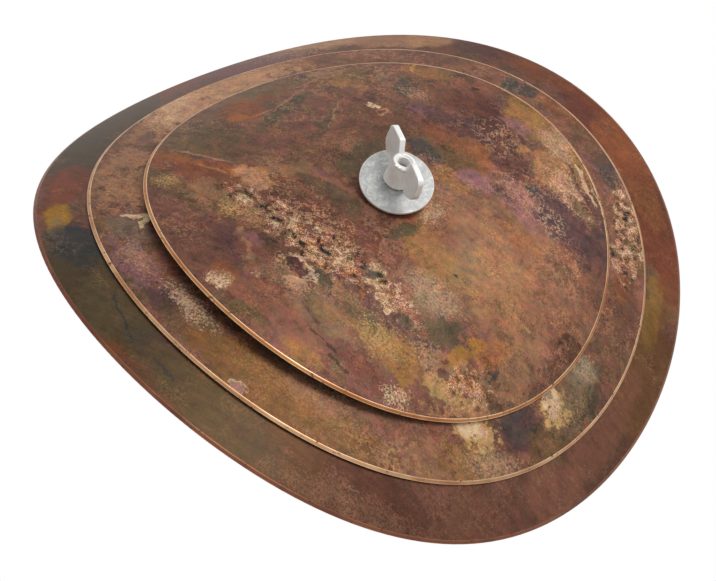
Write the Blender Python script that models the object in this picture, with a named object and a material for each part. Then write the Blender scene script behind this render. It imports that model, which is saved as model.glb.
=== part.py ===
"""Cymbal stack: three bent bronze plates clamped on one threaded stud.

Frame: +Z up along the stud, origin at the mouth of the stand socket, metres.
-Y is the side that the clamp washer dips towards. The ridges of the three
cymbals run parallel, RIDGE_HEADING degrees from +X.
"""
import math

import bmesh
import bpy
from mathutils import Matrix, Vector

MM = 0.001

# Clearances
SEAT_GAP = 0.3 * MM        # between two pieces that touch
NEST_GAP = 0.5 * MM        # between the rim of a cymbal and the one below it
SLIDE_GAP = 0.3 * MM       # between the stud and a bore that fits it

# Cymbals: plates of one gauge, each bent over its ridge
SHEET = 1.0 * MM
CYMBAL_HOLE_RADIUS = 6.5 * MM
RIDGE_HEADING = 70.9
RIM_BEVEL_WIDTH = 1.4 * MM
RIM_BEVEL_DROP = 0.45 * MM
LOW_RADIUS = 177.8 * MM    # 14 in
LOW_BEND = 270.6 * MM      # radius of the bend over the ridge
LOW_BOW = 5.69             # radius of the faint bow along the ridge
LOW_OFFSET = 3.1 * MM      # from the hole to the middle of the plate, across the ridge
MID_RADIUS = 152.0 * MM    # 12 in
MID_BEND = 268.8 * MM
MID_BOW = 4.92
MID_OFFSET = 2.6 * MM
TOP_RADIUS = 125.6 * MM    # 10 in
TOP_BEND = 234.1 * MM
TOP_BOW = 4.03
TOP_OFFSET = 2.2 * MM

# Stud, thread and stand adapter
THREAD_ROOT_RADIUS = 3.2 * MM      # M8: the thread itself is cut by the finish
THREAD_OUTER_RADIUS = 4.0 * MM
STUD_INSERTION = 7.0 * MM
SOCKET_RADIUS = 4.2 * MM
SOCKET_DEPTH = 12.0 * MM
SOCKET_MOUTH = 0.8 * MM            # chamfer of the socket's mouth
ADAPTER_FLATS = 14.0 * MM
ADAPTER_HEX_HEIGHT = 18.0 * MM
ADAPTER_COLLAR_RADIUS = 9.0 * MM
ADAPTER_COLLAR_HEIGHT = 4.0 * MM
JAM_NUT_FLATS = 13.0 * MM
JAM_NUT_HEIGHT = 4.0 * MM
HEX_CHAMFER_SLOPE = 0.5
HEX_CHAMFER_OVERCUT = 1.5          # how far past the corners the turned tool reaches

# Washers, felts and sleeve
SEAT_WASHER_RADIUS = 19.05 * MM
SEAT_WASHER_THICKNESS = 1.5 * MM
SLEEVE_BORE_RADIUS = 4.3 * MM
SLEEVE_WALL = 0.6 * MM
SLEEVE_TOP_CLEARANCE = 0.6 * MM    # from the sleeve's end to the tipped washer
LOWER_FELT_RADIUS = 17.5 * MM
LOWER_FELT_THICKNESS = 7.4 * MM
UPPER_FELT_RADIUS = 14.0 * MM
WASHER_RADIUS = 19.05 * MM         # 1 1/2 in fender washer
WASHER_HOLE_RADIUS = 6.0 * MM
WASHER_THICKNESS = 1.5 * MM
WASHER_TILT = 13.4                 # degrees, near edge down
WASHER_SLIP = 1.3 * MM             # how far it has slid up the tilt, +Y
WASHER_EDGE_GAP = 0.9 * MM         # from its low edge to the top cymbal

# Wing nut
NUT_BASE_RADIUS = 7.4 * MM
NUT_TOP_RADIUS = 5.7 * MM
NUT_HEIGHT = 13.2 * MM
NUT_EDGE = 0.6 * MM
NUT_COUNTERSINK = 0.5 * MM
STUD_RECESS = 5.5 * MM             # from the nut's mouth down to the stud's end
WING_HEADING = 132.6
WING_THICKNESS = 3.2 * MM
WING_EDGE = 0.6 * MM
WING_TIP_REACH = 20.6 * MM
WING_BELLY_REACH = 21.4 * MM
WING_FOOT_REACH = 16.4 * MM
WING_SHOULDER_REACH = 8.3 * MM
WING_TIP_RISE = 6.1 * MM           # above the nut's top
WING_SHOULDER_RISE = 6.6 * MM
WING_BELLY_DROP = 5.6 * MM         # below the nut's top
WING_FOOT_DROP = 10.0 * MM
WING_TOP_BITE = 1.5 * MM           # how far a wing runs into the hub at its top
WING_FOOT_BITE = 3.0 * MM          # and at its foot
WING_FOOT_FILLET = 5.0 * MM
WING_BELLY_FILLET = 4.0 * MM
WING_TIP_FILLET = 2.6 * MM
WING_SHOULDER_FILLET = 1.6 * MM

# Facet counts
RIM_SEGMENTS = 72
ROUND_SEGMENTS = 48
RING_STEP = 20.0 * MM
FELT_RINGS = 3
NEST_RINGS = 12
FILLET_STEPS = 5


def clear_scene():
    for item in list(bpy.data.objects):
        bpy.data.objects.remove(item, do_unlink=True)


def material(name, colour, roughness, metallic):
    mat = bpy.data.materials.new(name)
    mat.use_nodes = True
    shader = mat.node_tree.nodes["Principled BSDF"]
    shader.inputs["Base Color"].default_value = (*colour, 1.0)
    shader.inputs["Roughness"].default_value = roughness
    shader.inputs["Metallic"].default_value = metallic
    return mat


def add_object(name, bm, mat=None):
    """Close a bmesh into a named, smooth shaded object."""
    bmesh.ops.recalc_face_normals(bm, faces=bm.faces)
    mesh = bpy.data.meshes.new(name)
    bm.to_mesh(mesh)
    bm.free()
    mesh.shade_smooth()
    mesh.set_sharp_from_angle(angle=math.radians(30))
    obj = bpy.data.objects.new(name, mesh)
    bpy.context.collection.objects.link(obj)
    if mat:
        mesh.materials.append(mat)
    return obj


def revolve(profile, segments):
    """Spin a closed outline of (radius, height) points round Z."""
    bm = bmesh.new()
    verts = [bm.verts.new((r, 0.0, z)) for r, z in profile]
    edges = [bm.edges.new((verts[i - 1], verts[i])) for i in range(len(verts))]
    bmesh.ops.spin(bm, geom=verts + edges, cent=(0, 0, 0), axis=(0, 0, 1), dvec=(0, 0, 0),
                   angle=math.tau, steps=segments, use_merge=True, use_duplicate=False)
    return bm


def tube_profile(inner, outer, bottom, top):
    return [(inner, bottom), (outer, bottom), (outer, top), (inner, top)]


def joint_empty(name, height, parent=None):
    """An empty on a joint's axis, which carries the pieces that move with it."""
    empty = bpy.data.objects.new(name, None)
    empty.location = (0, 0, height - (parent.matrix_world.translation.z if parent else 0))
    empty.empty_display_size = 20 * MM
    bpy.context.collection.objects.link(empty)
    empty.parent = parent
    bpy.context.view_layer.update()
    return empty


def carry(empty, pieces):
    """Parent pieces to a joint's empty and leave them where they are."""
    bpy.context.view_layer.update()
    for piece in pieces:
        piece.parent = empty
        piece.matrix_parent_inverse = empty.matrix_world.inverted()


def solid_turning(name, profile, segments=ROUND_SEGMENTS, mat=None):
    """Turn an outline whose first and last points lie on the axis."""
    bm = bmesh.new()
    rings = []
    for r, z in profile:
        if r < 1e-9:
            rings.append([bm.verts.new((0, 0, z))])
            continue
        angles = [math.tau * i / segments for i in range(segments)]
        rings.append([bm.verts.new((r * math.cos(a), r * math.sin(a), z)) for a in angles])
    for lower, upper in zip(rings, rings[1:]):
        for i in range(segments):
            j = (i + 1) % segments
            corners = [ring[k % len(ring)] for ring, k in ((lower, i), (lower, j), (upper, j), (upper, i))]
            bm.faces.new(list(dict.fromkeys(corners)))
    return add_object(name, bm, mat)


def combine(obj, tool, operation):
    """Add an exact Boolean with a hidden tool object."""
    modifier = obj.modifiers.new(operation.title() + " " + tool.name, "BOOLEAN")
    modifier.operation = operation
    modifier.solver = "EXACT"
    modifier.object = tool
    tool.hide_render = True
    tool.display_type = "WIRE"


# Cymbals

def bend_plate(spec, u, v, depth):
    """Place of a plate point after the bend, from its crown at (0, 0, 0).

    u is measured across the ridge, v along it, both on the flat plate, and
    depth is measured down from the upper face, square to it.
    """
    across, along = u / spec["bend"], v / spec["bow"]
    x = spec["bend"] * math.sin(across)
    y = spec["bow"] * math.sin(along)
    z = spec["bend"] * (math.cos(across) - 1) + spec["bow"] * (math.cos(along) - 1)
    normal = Vector((math.tan(across), math.tan(along), 1)).normalized()
    return Vector((x, y, z)) - depth * normal


def face_height(spec, x, y):
    """Height of the upper face over a plan point in ridge axes, from its crown."""
    across = math.sqrt(max(spec["bend"] ** 2 - x * x, 0.0)) - spec["bend"]
    along = math.sqrt(max(spec["bow"] ** 2 - y * y, 0.0)) - spec["bow"]
    return across + along


def nest_rise(lower, upper):
    """Crown height at which the upper plate rests on the lower one."""
    rise = 0.0
    for ring in range(1, NEST_RINGS + 1):
        share = ring / NEST_RINGS
        for step in range(RIM_SEGMENTS):
            angle = math.tau * step / RIM_SEGMENTS
            reach = upper["radius"] * share
            u = reach * math.cos(angle) + upper["offset"] * share
            v = reach * math.sin(angle)
            point = bend_plate(upper, u, v, SHEET)
            slope = math.cos(u / upper["bend"])
            rise = max(rise, face_height(lower, point.x, point.y) - point.z + NEST_GAP / slope)
    return rise


def plate_profile(radius):
    """Section of the flat plate: rings on both faces and a bevelled rim."""
    inner = radius - RIM_BEVEL_WIDTH
    count = max(2, round((inner - CYMBAL_HOLE_RADIUS) / RING_STEP))
    step = (inner - CYMBAL_HOLE_RADIUS) / count
    radii = [CYMBAL_HOLE_RADIUS + i * step for i in range(count + 1)]
    upper = [(r, 0.0) for r in radii] + [(radius, -RIM_BEVEL_DROP)]
    lower = [(radius, -SHEET)] + [(r, -SHEET) for r in reversed(radii)]
    return upper + lower


def ridge_turn():
    return Matrix.Rotation(math.radians(RIDGE_HEADING - 90), 4, "Z")


def make_cymbal(name, spec, crown, mat):
    """Turn a flat plate, bend it, and set its crown on the stud's axis."""
    bm = revolve(plate_profile(spec["radius"]), RIM_SEGMENTS)
    span = spec["radius"] - CYMBAL_HOLE_RADIUS
    for vert in bm.verts:
        share = (vert.co.xy.length - CYMBAL_HOLE_RADIUS) / span
        u = vert.co.x + spec["offset"] * share
        vert.co = bend_plate(spec, u, vert.co.y, -vert.co.z)
    obj = add_object(name, bm, mat)
    obj.matrix_world = Matrix.Translation((0, 0, crown)) @ ridge_turn()
    return obj


# Felts

def make_felt(name, inner, outer, bottom, top, mat):
    """A ring whose faces follow two heights, each a function of x and y."""
    bm = bmesh.new()
    faces = []
    for height in (bottom, top):
        rings = []
        for ring in range(FELT_RINGS + 1):
            r = inner + (outer - inner) * ring / FELT_RINGS
            angles = [math.tau * i / ROUND_SEGMENTS for i in range(ROUND_SEGMENTS)]
            places = [(r * math.cos(a), r * math.sin(a)) for a in angles]
            rings.append([bm.verts.new((x, y, height(x, y))) for x, y in places])
        faces.append(rings)
    loops = faces[0] + faces[1][::-1]
    for lower, upper in zip(loops, loops[1:] + loops[:1]):
        for i in range(ROUND_SEGMENTS):
            j = (i + 1) % ROUND_SEGMENTS
            bm.faces.new((lower[i], lower[j], upper[j], upper[i]))
    return add_object(name, bm, mat)


def over_plan(spec, crown, depth):
    """Height of a cymbal's face over world x and y; depth 0 is the upper face."""
    turn = ridge_turn().inverted()

    def height(x, y):
        place = turn @ Vector((x, y, 0))
        rise = face_height(spec, place.x, place.y)
        slope = place.x / spec["bend"]
        return crown + rise - depth / math.sqrt(max(1 - slope * slope, 0.01))
    return height


# Hexagonal and turned hardware

def hex_blank(name, flats, bottom, top, mat):
    """Hexagonal bar with its top and bottom corners turned off."""
    corner = flats / math.sqrt(3)
    bm = bmesh.new()
    bmesh.ops.create_cone(bm, cap_ends=True, segments=6, radius1=corner, radius2=corner,
                          depth=top - bottom)
    bmesh.ops.translate(bm, verts=bm.verts, vec=(0, 0, (top + bottom) / 2))
    obj = add_object(name, bm, mat)
    reach = (corner - flats / 2) * HEX_CHAMFER_OVERCUT
    edge = flats / 2 - SEAT_GAP
    drop = (reach + SEAT_GAP) * HEX_CHAMFER_SLOPE
    wide = flats / 2 + reach
    profile = [(0, bottom), (edge, bottom), (wide, bottom + drop),
               (wide, top - drop), (edge, top), (0, top)]
    combine(obj, solid_turning(name + "_chamfer", profile), "INTERSECT")
    return obj


def make_adapter(levels, mat):
    """Hexagonal coupler with a collar, a stand socket below and a stud socket above."""
    obj = hex_blank("stand_adapter", ADAPTER_FLATS, 0.0, ADAPTER_HEX_HEIGHT, mat)
    top = levels["adapter_top"]
    bite = ADAPTER_HEX_HEIGHT - SEAT_GAP
    edge = ADAPTER_COLLAR_RADIUS - SOCKET_MOUTH
    collar = [(0, bite), (ADAPTER_COLLAR_RADIUS, bite), (ADAPTER_COLLAR_RADIUS, top - SOCKET_MOUTH),
              (edge, top), (0, top)]
    combine(obj, solid_turning("adapter_collar", collar), "UNION")
    mouth = SOCKET_RADIUS + SOCKET_MOUTH
    socket = [(0, -SOCKET_MOUTH), (mouth, -SOCKET_MOUTH), (mouth, 0), (SOCKET_RADIUS, SOCKET_MOUTH),
              (SOCKET_RADIUS, SOCKET_DEPTH), (0, SOCKET_DEPTH)]
    combine(obj, solid_turning("adapter_stand_socket", socket), "DIFFERENCE")
    bore = THREAD_ROOT_RADIUS + SLIDE_GAP
    floor = levels["stud_bottom"] - SEAT_GAP
    stud_socket = [(0, floor), (bore, floor), (bore, top + SOCKET_MOUTH), (0, top + SOCKET_MOUTH)]
    combine(obj, solid_turning("adapter_stud_socket", stud_socket), "DIFFERENCE")
    return obj


def make_jam_nut(levels, mat):
    bottom, top = levels["jam_bottom"], levels["jam_bottom"] + JAM_NUT_HEIGHT
    obj = hex_blank("jam_nut", JAM_NUT_FLATS, bottom, top, mat)
    bore = THREAD_ROOT_RADIUS + SLIDE_GAP
    hole = [(0, bottom - SEAT_GAP), (bore, bottom - SEAT_GAP), (bore, top + SEAT_GAP), (0, top + SEAT_GAP)]
    combine(obj, solid_turning("jam_nut_bore", hole), "DIFFERENCE")
    return obj


def make_stud(levels, mat):
    bottom, top = levels["stud_bottom"], levels["stud_top"]
    edge = THREAD_OUTER_RADIUS - THREAD_ROOT_RADIUS
    inner = THREAD_ROOT_RADIUS - edge
    profile = [(0, bottom), (inner, bottom), (THREAD_ROOT_RADIUS, bottom + edge),
               (THREAD_ROOT_RADIUS, top - edge), (inner, top), (0, top)]
    return solid_turning("stud", profile, mat=mat)


def make_ring(name, inner, outer, bottom, top, mat):
    return add_object(name, revolve(tube_profile(inner, outer, bottom, top), ROUND_SEGMENTS), mat)


def make_clamp_washer(levels, mat):
    """The wide washer, tipped about its own middle with its near edge down."""
    half = WASHER_THICKNESS / 2
    obj = make_ring("clamp_washer", WASHER_HOLE_RADIUS, WASHER_RADIUS, -half, half, mat)
    obj.location = (0, WASHER_SLIP, levels["washer_middle"])
    obj.rotation_euler.x = math.radians(WASHER_TILT)
    return obj


# Wing nut

def rounded_outline(corners):
    """Points of a polygon whose corners (x, y, fillet radius) are rounded."""
    points = []
    for i, (x, y, radius) in enumerate(corners):
        here = Vector((x, y))
        before = (Vector(corners[i - 1][:2]) - here).normalized()
        after = (Vector(corners[(i + 1) % len(corners)][:2]) - here).normalized()
        if radius == 0:
            points.append(here)
            continue
        half = before.angle(after) / 2
        centre = here + (before + after).normalized() * radius / math.sin(half)
        start = here + before * radius / math.tan(half) - centre
        end = here + after * radius / math.tan(half) - centre
        sweep = start.angle_signed(end)
        for step in range(FILLET_STEPS + 1):
            points.append(centre + Matrix.Rotation(-sweep * step / FILLET_STEPS, 2) @ start)
    return points


def wing_outline():
    """Side view of one wing: reach from the axis, height from the nut's top."""
    top_root = NUT_TOP_RADIUS - WING_TOP_BITE
    foot_root = NUT_BASE_RADIUS - WING_FOOT_BITE
    foot = WING_FOOT_DROP
    return rounded_outline([
        (foot_root, -foot - WING_EDGE, 0.0),
        (WING_FOOT_REACH, -foot, WING_FOOT_FILLET),
        (WING_BELLY_REACH, -WING_BELLY_DROP, WING_BELLY_FILLET),
        (WING_TIP_REACH, WING_TIP_RISE, WING_TIP_FILLET),
        (WING_SHOULDER_REACH, WING_SHOULDER_RISE, WING_SHOULDER_FILLET),
        (top_root, -WING_EDGE, 0.0),
    ])


def make_wing(name, heading, levels):
    """Extrude the outline to the wing's thickness and round its edges."""
    bm = bmesh.new()
    half = WING_THICKNESS / 2
    verts = [bm.verts.new((p.x, -half, p.y)) for p in wing_outline()]
    face = bm.faces.new(verts)
    raised = bmesh.ops.extrude_face_region(bm, geom=[face])
    moved = [item for item in raised["geom"] if isinstance(item, bmesh.types.BMVert)]
    bmesh.ops.translate(bm, verts=moved, vec=(0, WING_THICKNESS, 0))
    wing = add_object(name, bm)
    bevel = wing.modifiers.new("Rounded edges", "BEVEL")
    bevel.width = WING_EDGE
    bevel.segments = 2
    bevel.limit_method = "ANGLE"
    bevel.angle_limit = math.radians(60)
    wing.location = (0, 0, levels["nut_top"])
    wing.rotation_euler.z = math.radians(heading)
    return wing


def make_wing_nut(levels, mat):
    """Tapered hub, two wings grown onto it, and the threaded bore."""
    bottom, top = levels["nut_bottom"], levels["nut_top"]
    profile = [(0, bottom), (NUT_BASE_RADIUS - NUT_EDGE, bottom),
               (NUT_BASE_RADIUS, bottom + NUT_EDGE), (NUT_TOP_RADIUS, top - NUT_EDGE),
               (NUT_TOP_RADIUS - NUT_EDGE, top), (0, top)]
    nut = solid_turning("wing_nut", profile, mat=mat)
    for index, heading in enumerate((WING_HEADING, WING_HEADING + 180)):
        combine(nut, make_wing(f"wing_blank_{index + 1}", heading, levels), "UNION")
    bore = THREAD_ROOT_RADIUS + SLIDE_GAP
    mouth = bore + NUT_COUNTERSINK
    hole = [(0, bottom - SEAT_GAP), (bore, bottom - SEAT_GAP), (bore, top - NUT_COUNTERSINK),
            (mouth, top), (mouth, top + SEAT_GAP), (0, top + SEAT_GAP)]
    combine(nut, solid_turning("wing_nut_bore", hole), "DIFFERENCE")
    return nut


# Assembly

def cymbal_specs():
    return {
        "low": {"radius": LOW_RADIUS, "bend": LOW_BEND, "bow": LOW_BOW, "offset": LOW_OFFSET},
        "mid": {"radius": MID_RADIUS, "bend": MID_BEND, "bow": MID_BOW, "offset": MID_OFFSET},
        "top": {"radius": TOP_RADIUS, "bend": TOP_BEND, "bow": TOP_BOW, "offset": TOP_OFFSET},
    }


def washer_plane(levels, offset):
    """Height of a plane parallel to the tipped washer, offset along its axis."""
    tilt = math.radians(WASHER_TILT)

    def height(x, y):
        return levels["washer_middle"] + (y - WASHER_SLIP) * math.tan(tilt) + offset / math.cos(tilt)
    return height


def washer_middle(top_face):
    """Height of the washer's middle that leaves its low edge just off the top cymbal."""
    tilt = math.radians(WASHER_TILT)
    middle = 0.0
    for step in range(ROUND_SEGMENTS):
        angle = math.tau * step / ROUND_SEGMENTS
        x = WASHER_RADIUS * math.cos(angle)
        sine = WASHER_RADIUS * math.sin(angle)
        y = WASHER_SLIP + sine * math.cos(tilt) + WASHER_THICKNESS / 2 * math.sin(tilt)
        edge = sine * math.sin(tilt) - WASHER_THICKNESS / 2 * math.cos(tilt)
        middle = max(middle, top_face(x, y) + WASHER_EDGE_GAP - edge)
    return middle


def stack_levels(specs):
    """Every height of the assembly, from the stand socket upwards."""
    levels = {"adapter_top": ADAPTER_HEX_HEIGHT + ADAPTER_COLLAR_HEIGHT}
    levels["stud_bottom"] = levels["adapter_top"] - STUD_INSERTION + SEAT_GAP
    levels["jam_bottom"] = levels["adapter_top"] + SEAT_GAP
    levels["seat_bottom"] = levels["jam_bottom"] + JAM_NUT_HEIGHT + SEAT_GAP
    levels["seat_top"] = levels["seat_bottom"] + SEAT_WASHER_THICKNESS
    levels["low"] = levels["seat_top"] + SEAT_GAP + LOWER_FELT_THICKNESS + SEAT_GAP + SHEET
    levels["mid"] = levels["low"] + nest_rise(specs["low"], specs["mid"])
    levels["top"] = levels["mid"] + nest_rise(specs["mid"], specs["top"])
    levels["rock_pivot"] = (levels["low"] - SHEET + levels["top"]) / 2
    levels["washer_middle"] = washer_middle(over_plan(specs["top"], levels["top"], 0.0))
    high_side = washer_plane(levels, WASHER_THICKNESS / 2)(0, NUT_BASE_RADIUS)
    levels["nut_bottom"] = high_side + SEAT_GAP
    levels["nut_top"] = levels["nut_bottom"] + NUT_HEIGHT
    levels["stud_top"] = levels["nut_top"] - STUD_RECESS
    return levels


def build():
    clear_scene()
    bronze = material("Aged bronze", (0.22, 0.12, 0.07), 0.45, 0.8)
    zinc = material("Zinc plated steel", (0.36, 0.37, 0.36), 0.4, 0.8)
    cast = material("Bright cast zinc", (0.8, 0.79, 0.76), 0.35, 0.8)
    felt = material("Grey felt", (0.1, 0.1, 0.1), 0.95, 0.0)
    nylon = material("Black nylon", (0.03, 0.03, 0.03), 0.5, 0.0)
    specs = cymbal_specs()
    levels = stack_levels(specs)

    cymbals = [make_cymbal(key + "_cymbal", specs[key], levels[key], bronze) for key in specs]
    make_adapter(levels, zinc)
    make_jam_nut(levels, zinc)
    make_stud(levels, zinc)
    bore = THREAD_ROOT_RADIUS + SLIDE_GAP
    make_ring("seat_washer", bore, SEAT_WASHER_RADIUS, levels["seat_bottom"], levels["seat_top"], zinc)
    clamp_washer = make_clamp_washer(levels, zinc)
    wing_nut = make_wing_nut(levels, cast)

    sleeve_outer = SLEEVE_BORE_RADIUS + SLEEVE_WALL
    sleeve_bottom = levels["seat_top"] + SEAT_GAP
    under_washer = washer_plane(levels, -WASHER_THICKNESS / 2)
    sleeve_top = under_washer(0, -sleeve_outer) - SLEEVE_TOP_CLEARANCE
    make_ring("sleeve", SLEEVE_BORE_RADIUS, sleeve_outer, sleeve_bottom, sleeve_top, nylon)

    felt_bore = sleeve_outer + SLIDE_GAP
    low_under = over_plan(specs["low"], levels["low"], SHEET)
    top_face = over_plan(specs["top"], levels["top"], 0.0)
    lower_felt = make_felt("lower_felt", felt_bore, LOWER_FELT_RADIUS,
                           lambda x, y: sleeve_bottom,
                           lambda x, y: low_under(x, y) - SEAT_GAP, felt)
    upper_felt = make_felt("upper_felt", felt_bore, UPPER_FELT_RADIUS,
                           lambda x, y: top_face(x, y) + SEAT_GAP,
                           lambda x, y: under_washer(x, y) - SEAT_GAP, felt)

    rock = joint_empty("stack_rock", levels["rock_pivot"])
    carry(rock, [lower_felt, upper_felt])
    carry(joint_empty("stack_swivel", levels["rock_pivot"], rock), cymbals)
    lift = joint_empty("washer_lift", levels["nut_bottom"])
    carry(lift, [clamp_washer])
    carry(joint_empty("wing_nut_turn", levels["nut_bottom"], lift), [wing_nut])


build()
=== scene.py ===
"""Looks of the cymbal stack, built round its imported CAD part.

Laid out as a Blender add-on and run as a script. Lengths are in metres in the
part's frame: +Z up along the stud, origin at the mouth of the stand socket.
"""

import math

import bmesh
import bpy
from mathutils import Matrix, Vector


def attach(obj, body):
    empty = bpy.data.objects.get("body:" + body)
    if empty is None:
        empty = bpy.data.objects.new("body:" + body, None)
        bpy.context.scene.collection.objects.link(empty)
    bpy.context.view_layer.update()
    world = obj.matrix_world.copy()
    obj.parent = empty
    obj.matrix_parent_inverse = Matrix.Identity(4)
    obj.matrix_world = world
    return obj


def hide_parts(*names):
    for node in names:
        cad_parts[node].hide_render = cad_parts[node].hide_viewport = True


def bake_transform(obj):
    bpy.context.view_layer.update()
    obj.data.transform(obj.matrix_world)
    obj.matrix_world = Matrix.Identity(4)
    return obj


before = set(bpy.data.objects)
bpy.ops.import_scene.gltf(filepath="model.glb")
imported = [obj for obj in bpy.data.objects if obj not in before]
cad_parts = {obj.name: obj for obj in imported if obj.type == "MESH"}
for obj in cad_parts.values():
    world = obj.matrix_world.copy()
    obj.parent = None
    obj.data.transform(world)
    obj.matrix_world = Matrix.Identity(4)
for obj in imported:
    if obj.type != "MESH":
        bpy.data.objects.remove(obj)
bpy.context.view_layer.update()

bl_info = {
    "name": "Cymbal Stack",
    "version": (1, 0, 0),
    "blender": (4, 5, 0),
    "location": "View3D > Sidebar > Cymbal Stack",
    "description": "Builds the looks of a stack of bent, heat coloured cymbals",
    "category": "Object",
}

MM = 0.001

# Places and sizes that the pieces share with the part
CYMBALS = {
    # plate radius, bend radius, bow radius, offset of the hole, height of the crown
    "low": (177.8 * MM, 270.6 * MM, 5.69, 3.1 * MM, 37.1 * MM),
    "mid": (152.0 * MM, 268.8 * MM, 4.92, 2.6 * MM, 39.226 * MM),
    "top": (125.6 * MM, 234.1 * MM, 4.03, 2.2 * MM, 45.904 * MM),
}
RIDGE_HEADING = 70.9
WASHER_TILT = 13.4
WASHER_PLACE = (0.0, 1.3 * MM, 51.854 * MM)
NUT_BOTTOM, NUT_TOP = 54.378 * MM, 67.578 * MM
WING_HEADING = 132.6
HUB_RADIUS_BELOW, HUB_RADIUS_ABOVE = 7.4 * MM, 5.7 * MM
COUNTERSINK_RADIUS, COUNTERSINK_DEPTH, COUNTERSINK_DROP = 3.5 * MM, 1.4 * MM, 0.2 * MM
# One wing's corners: reach and height from the nut's top, and fillet, in mm
WING_CORNERS = ((4.4, -10.6, 0.0), (16.4, -10.0, 5.0), (21.4, -5.6, 4.0), (20.6, 6.1, 4.4),
                (8.3, 6.6, 1.6), (4.2, -0.6, 0.0))
FILLET_SHARE = 0.62    # how far from its corner a fillet starts, for each mm of its radius
# Flash of the casting, left on the hub's top edge: heading in degrees, radius in mm
FLASH = ((-112, 0.9), (-94, 0.8), (-76, 1.1), (-66, 1.3), (-54, 0.9))
FLASH_REACH, FLASH_DEPTH = 6.1 * MM, 0.6 * MM
STUD_BOTTOM, STUD_TOP = 15.3 * MM, 62.078 * MM
SOCKET_DEPTH = 12.0 * MM
ADAPTER_FLATS, ADAPTER_HEX_TOP, ADAPTER_TOP = 14 * MM, 18.0 * MM, 22.0 * MM
COLLAR_BORE, COLLAR_RADIUS = 2 * MM, 9 * MM
JAM_FLATS, JAM_BOTTOM, JAM_TOP = 13 * MM, 22.3 * MM, 26.3 * MM
# How far the hexagons' corners are turned off, the slope of that, and the core of
# the turned blank that they are cut with
HEX_EDGE, HEX_SLOPE, HEX_CORE = 0.4 * MM, 0.55, 0.5 * MM
SEAT_BORE, SEAT_BOTTOM, SEAT_TOP = 4.2 * MM, 26.6 * MM, 28.1 * MM
SLEEVE_BORE, SLEEVE_RADIUS = 4.3 * MM, 4.9 * MM
SLEEVE_BOTTOM, SLEEVE_TOP = 28.4 * MM, 49.01 * MM
FELT_BORE = 5.2 * MM
LOWER_FELT_RADIUS, LOWER_FELT_TOP = 17.5 * MM, 35.8 * MM
UPPER_FELT_RADIUS, UPPER_FELT_BOTTOM, UPPER_FELT_HIGHEST = 14.0 * MM, 46.204 * MM, 54.8 * MM
UPPER_FELT_FOOT = 0.8 * MM    # a height above the upper felt's bottom, at its foot
FELT_ROOM = 0.9 * MM    # room between the upper felt and the washer, for the rock
FELT_STEPS = 8    # rings of the lower felt's face

# Fineness and finish of the modelling
PLATE_RING, PLATE_STEP = 180, 5 * MM    # segments round a cymbal, and rings across it
CREST_HIGHLIGHT = 0.4 * MM    # width of the painted highlight line at the crest of a rim's bevel
FACING_DOWN = -0.5    # a face whose normal is lower than this is underside
WASHER_RING, SMALL_RING, THREAD_RING = 144, 96, 32
WASHER_EDGE, SLEEVE_EDGE, COLLAR_EDGE = 0.3 * MM, 0.15 * MM, 0.6 * MM
SUNK = 0.3 * MM    # how far the collar is sunk in the hexagon
UNDER_STUD = 0.3 * MM    # room that the adapter's tapped hole leaves under the stud
RUN_OUT = 2 * MM    # how far a tap runs past the end of its hole
THREAD_FLAT = 0.12    # width of the thread's root and crest, as a share of the pitch
CORNER_STEPS = 3    # facets of a rounded edge
CAST_GRAIN, FELT_GRAIN = 0.24 * MM, 0.4 * MM    # sizes that the remesh keeps
FUZZ, FUZZ_GRAIN = 0.35 * MM, 0.9 * MM    # height and width of the felts' fuzz
TINY = 0.001 * MM    # nearer than this, two vertices are one


# Colours and nodes

def linear(colour):
    """The linear colour that Blender's sockets take, from a tone or an sRGB hex code."""
    code = TONES.get(colour, colour)
    channels = [int(code[i:i + 2], 16) / 255 for i in (1, 3, 5)]
    return (*[c / 12.92 if c <= 0.04045 else ((c + 0.055) / 1.055) ** 2.4 for c in channels], 1.0)


def add(tree, kind, inputs=None, stops=(), **settings):
    """Add a node, make its settings, fill its inputs with values or links, and
    give its colour ramp its stops: (position, tone or hex code) pairs."""
    item = tree.nodes.new("ShaderNode" + kind)
    for name, value in settings.items():
        setattr(item, name, value)
    for key, value in (inputs or {}).items():
        if isinstance(value, bpy.types.NodeSocket):
            tree.links.new(value, item.inputs[key])
        else:
            item.inputs[key].default_value = value
    for index, (position, colour) in enumerate(stops):
        elements = item.color_ramp.elements
        element = elements[index] if index < len(elements) else elements.new(position)
        element.position = position
        element.color = linear(colour)
    return item


def new_material(name):
    """An empty material: its tree, its shader and its place in the part's frame."""
    material = bpy.data.materials.new(name)
    material.use_nodes = True
    tree = material.node_tree
    shader = tree.nodes["Principled BSDF"]
    place = add(tree, "TexCoord").outputs["Object"]
    return material, tree, shader, place


def set_shader(tree, shader, **values):
    """Set the shader's sockets, whose names are given with underscores."""
    for name, value in values.items():
        socket = shader.inputs[name.replace("_", " ")]
        if isinstance(value, bpy.types.NodeSocket):
            tree.links.new(value, socket)
        else:
            socket.default_value = value


# Finishes

TONES = {
    "umber": "#694939", "mauve": "#714c41", "rose": "#885a49", "maroon": "#653c32",
    "wine": "#533433", "rust": "#8b5132", "brick": "#7d432f", "orange": "#a66a3c",
    "tan": "#a0775a", "ochre": "#9b7244", "amber": "#bd8a5b", "gold": "#a57a33",
    "straw": "#c7a470", "yellow": "#bc943e", "olive": "#665336", "moss": "#4d4735",
    "sage": "#837158", "grey": "#776a5d", "slate": "#454341", "blue": "#303438",
    "soot": "#33271f", "plum": "#533b3f", "lilac": "#8b6268", "peach": "#c49a7c",
    "pale": "#e2c6a9", "bronze": "#765331", "ember": "#472614",
}
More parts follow.
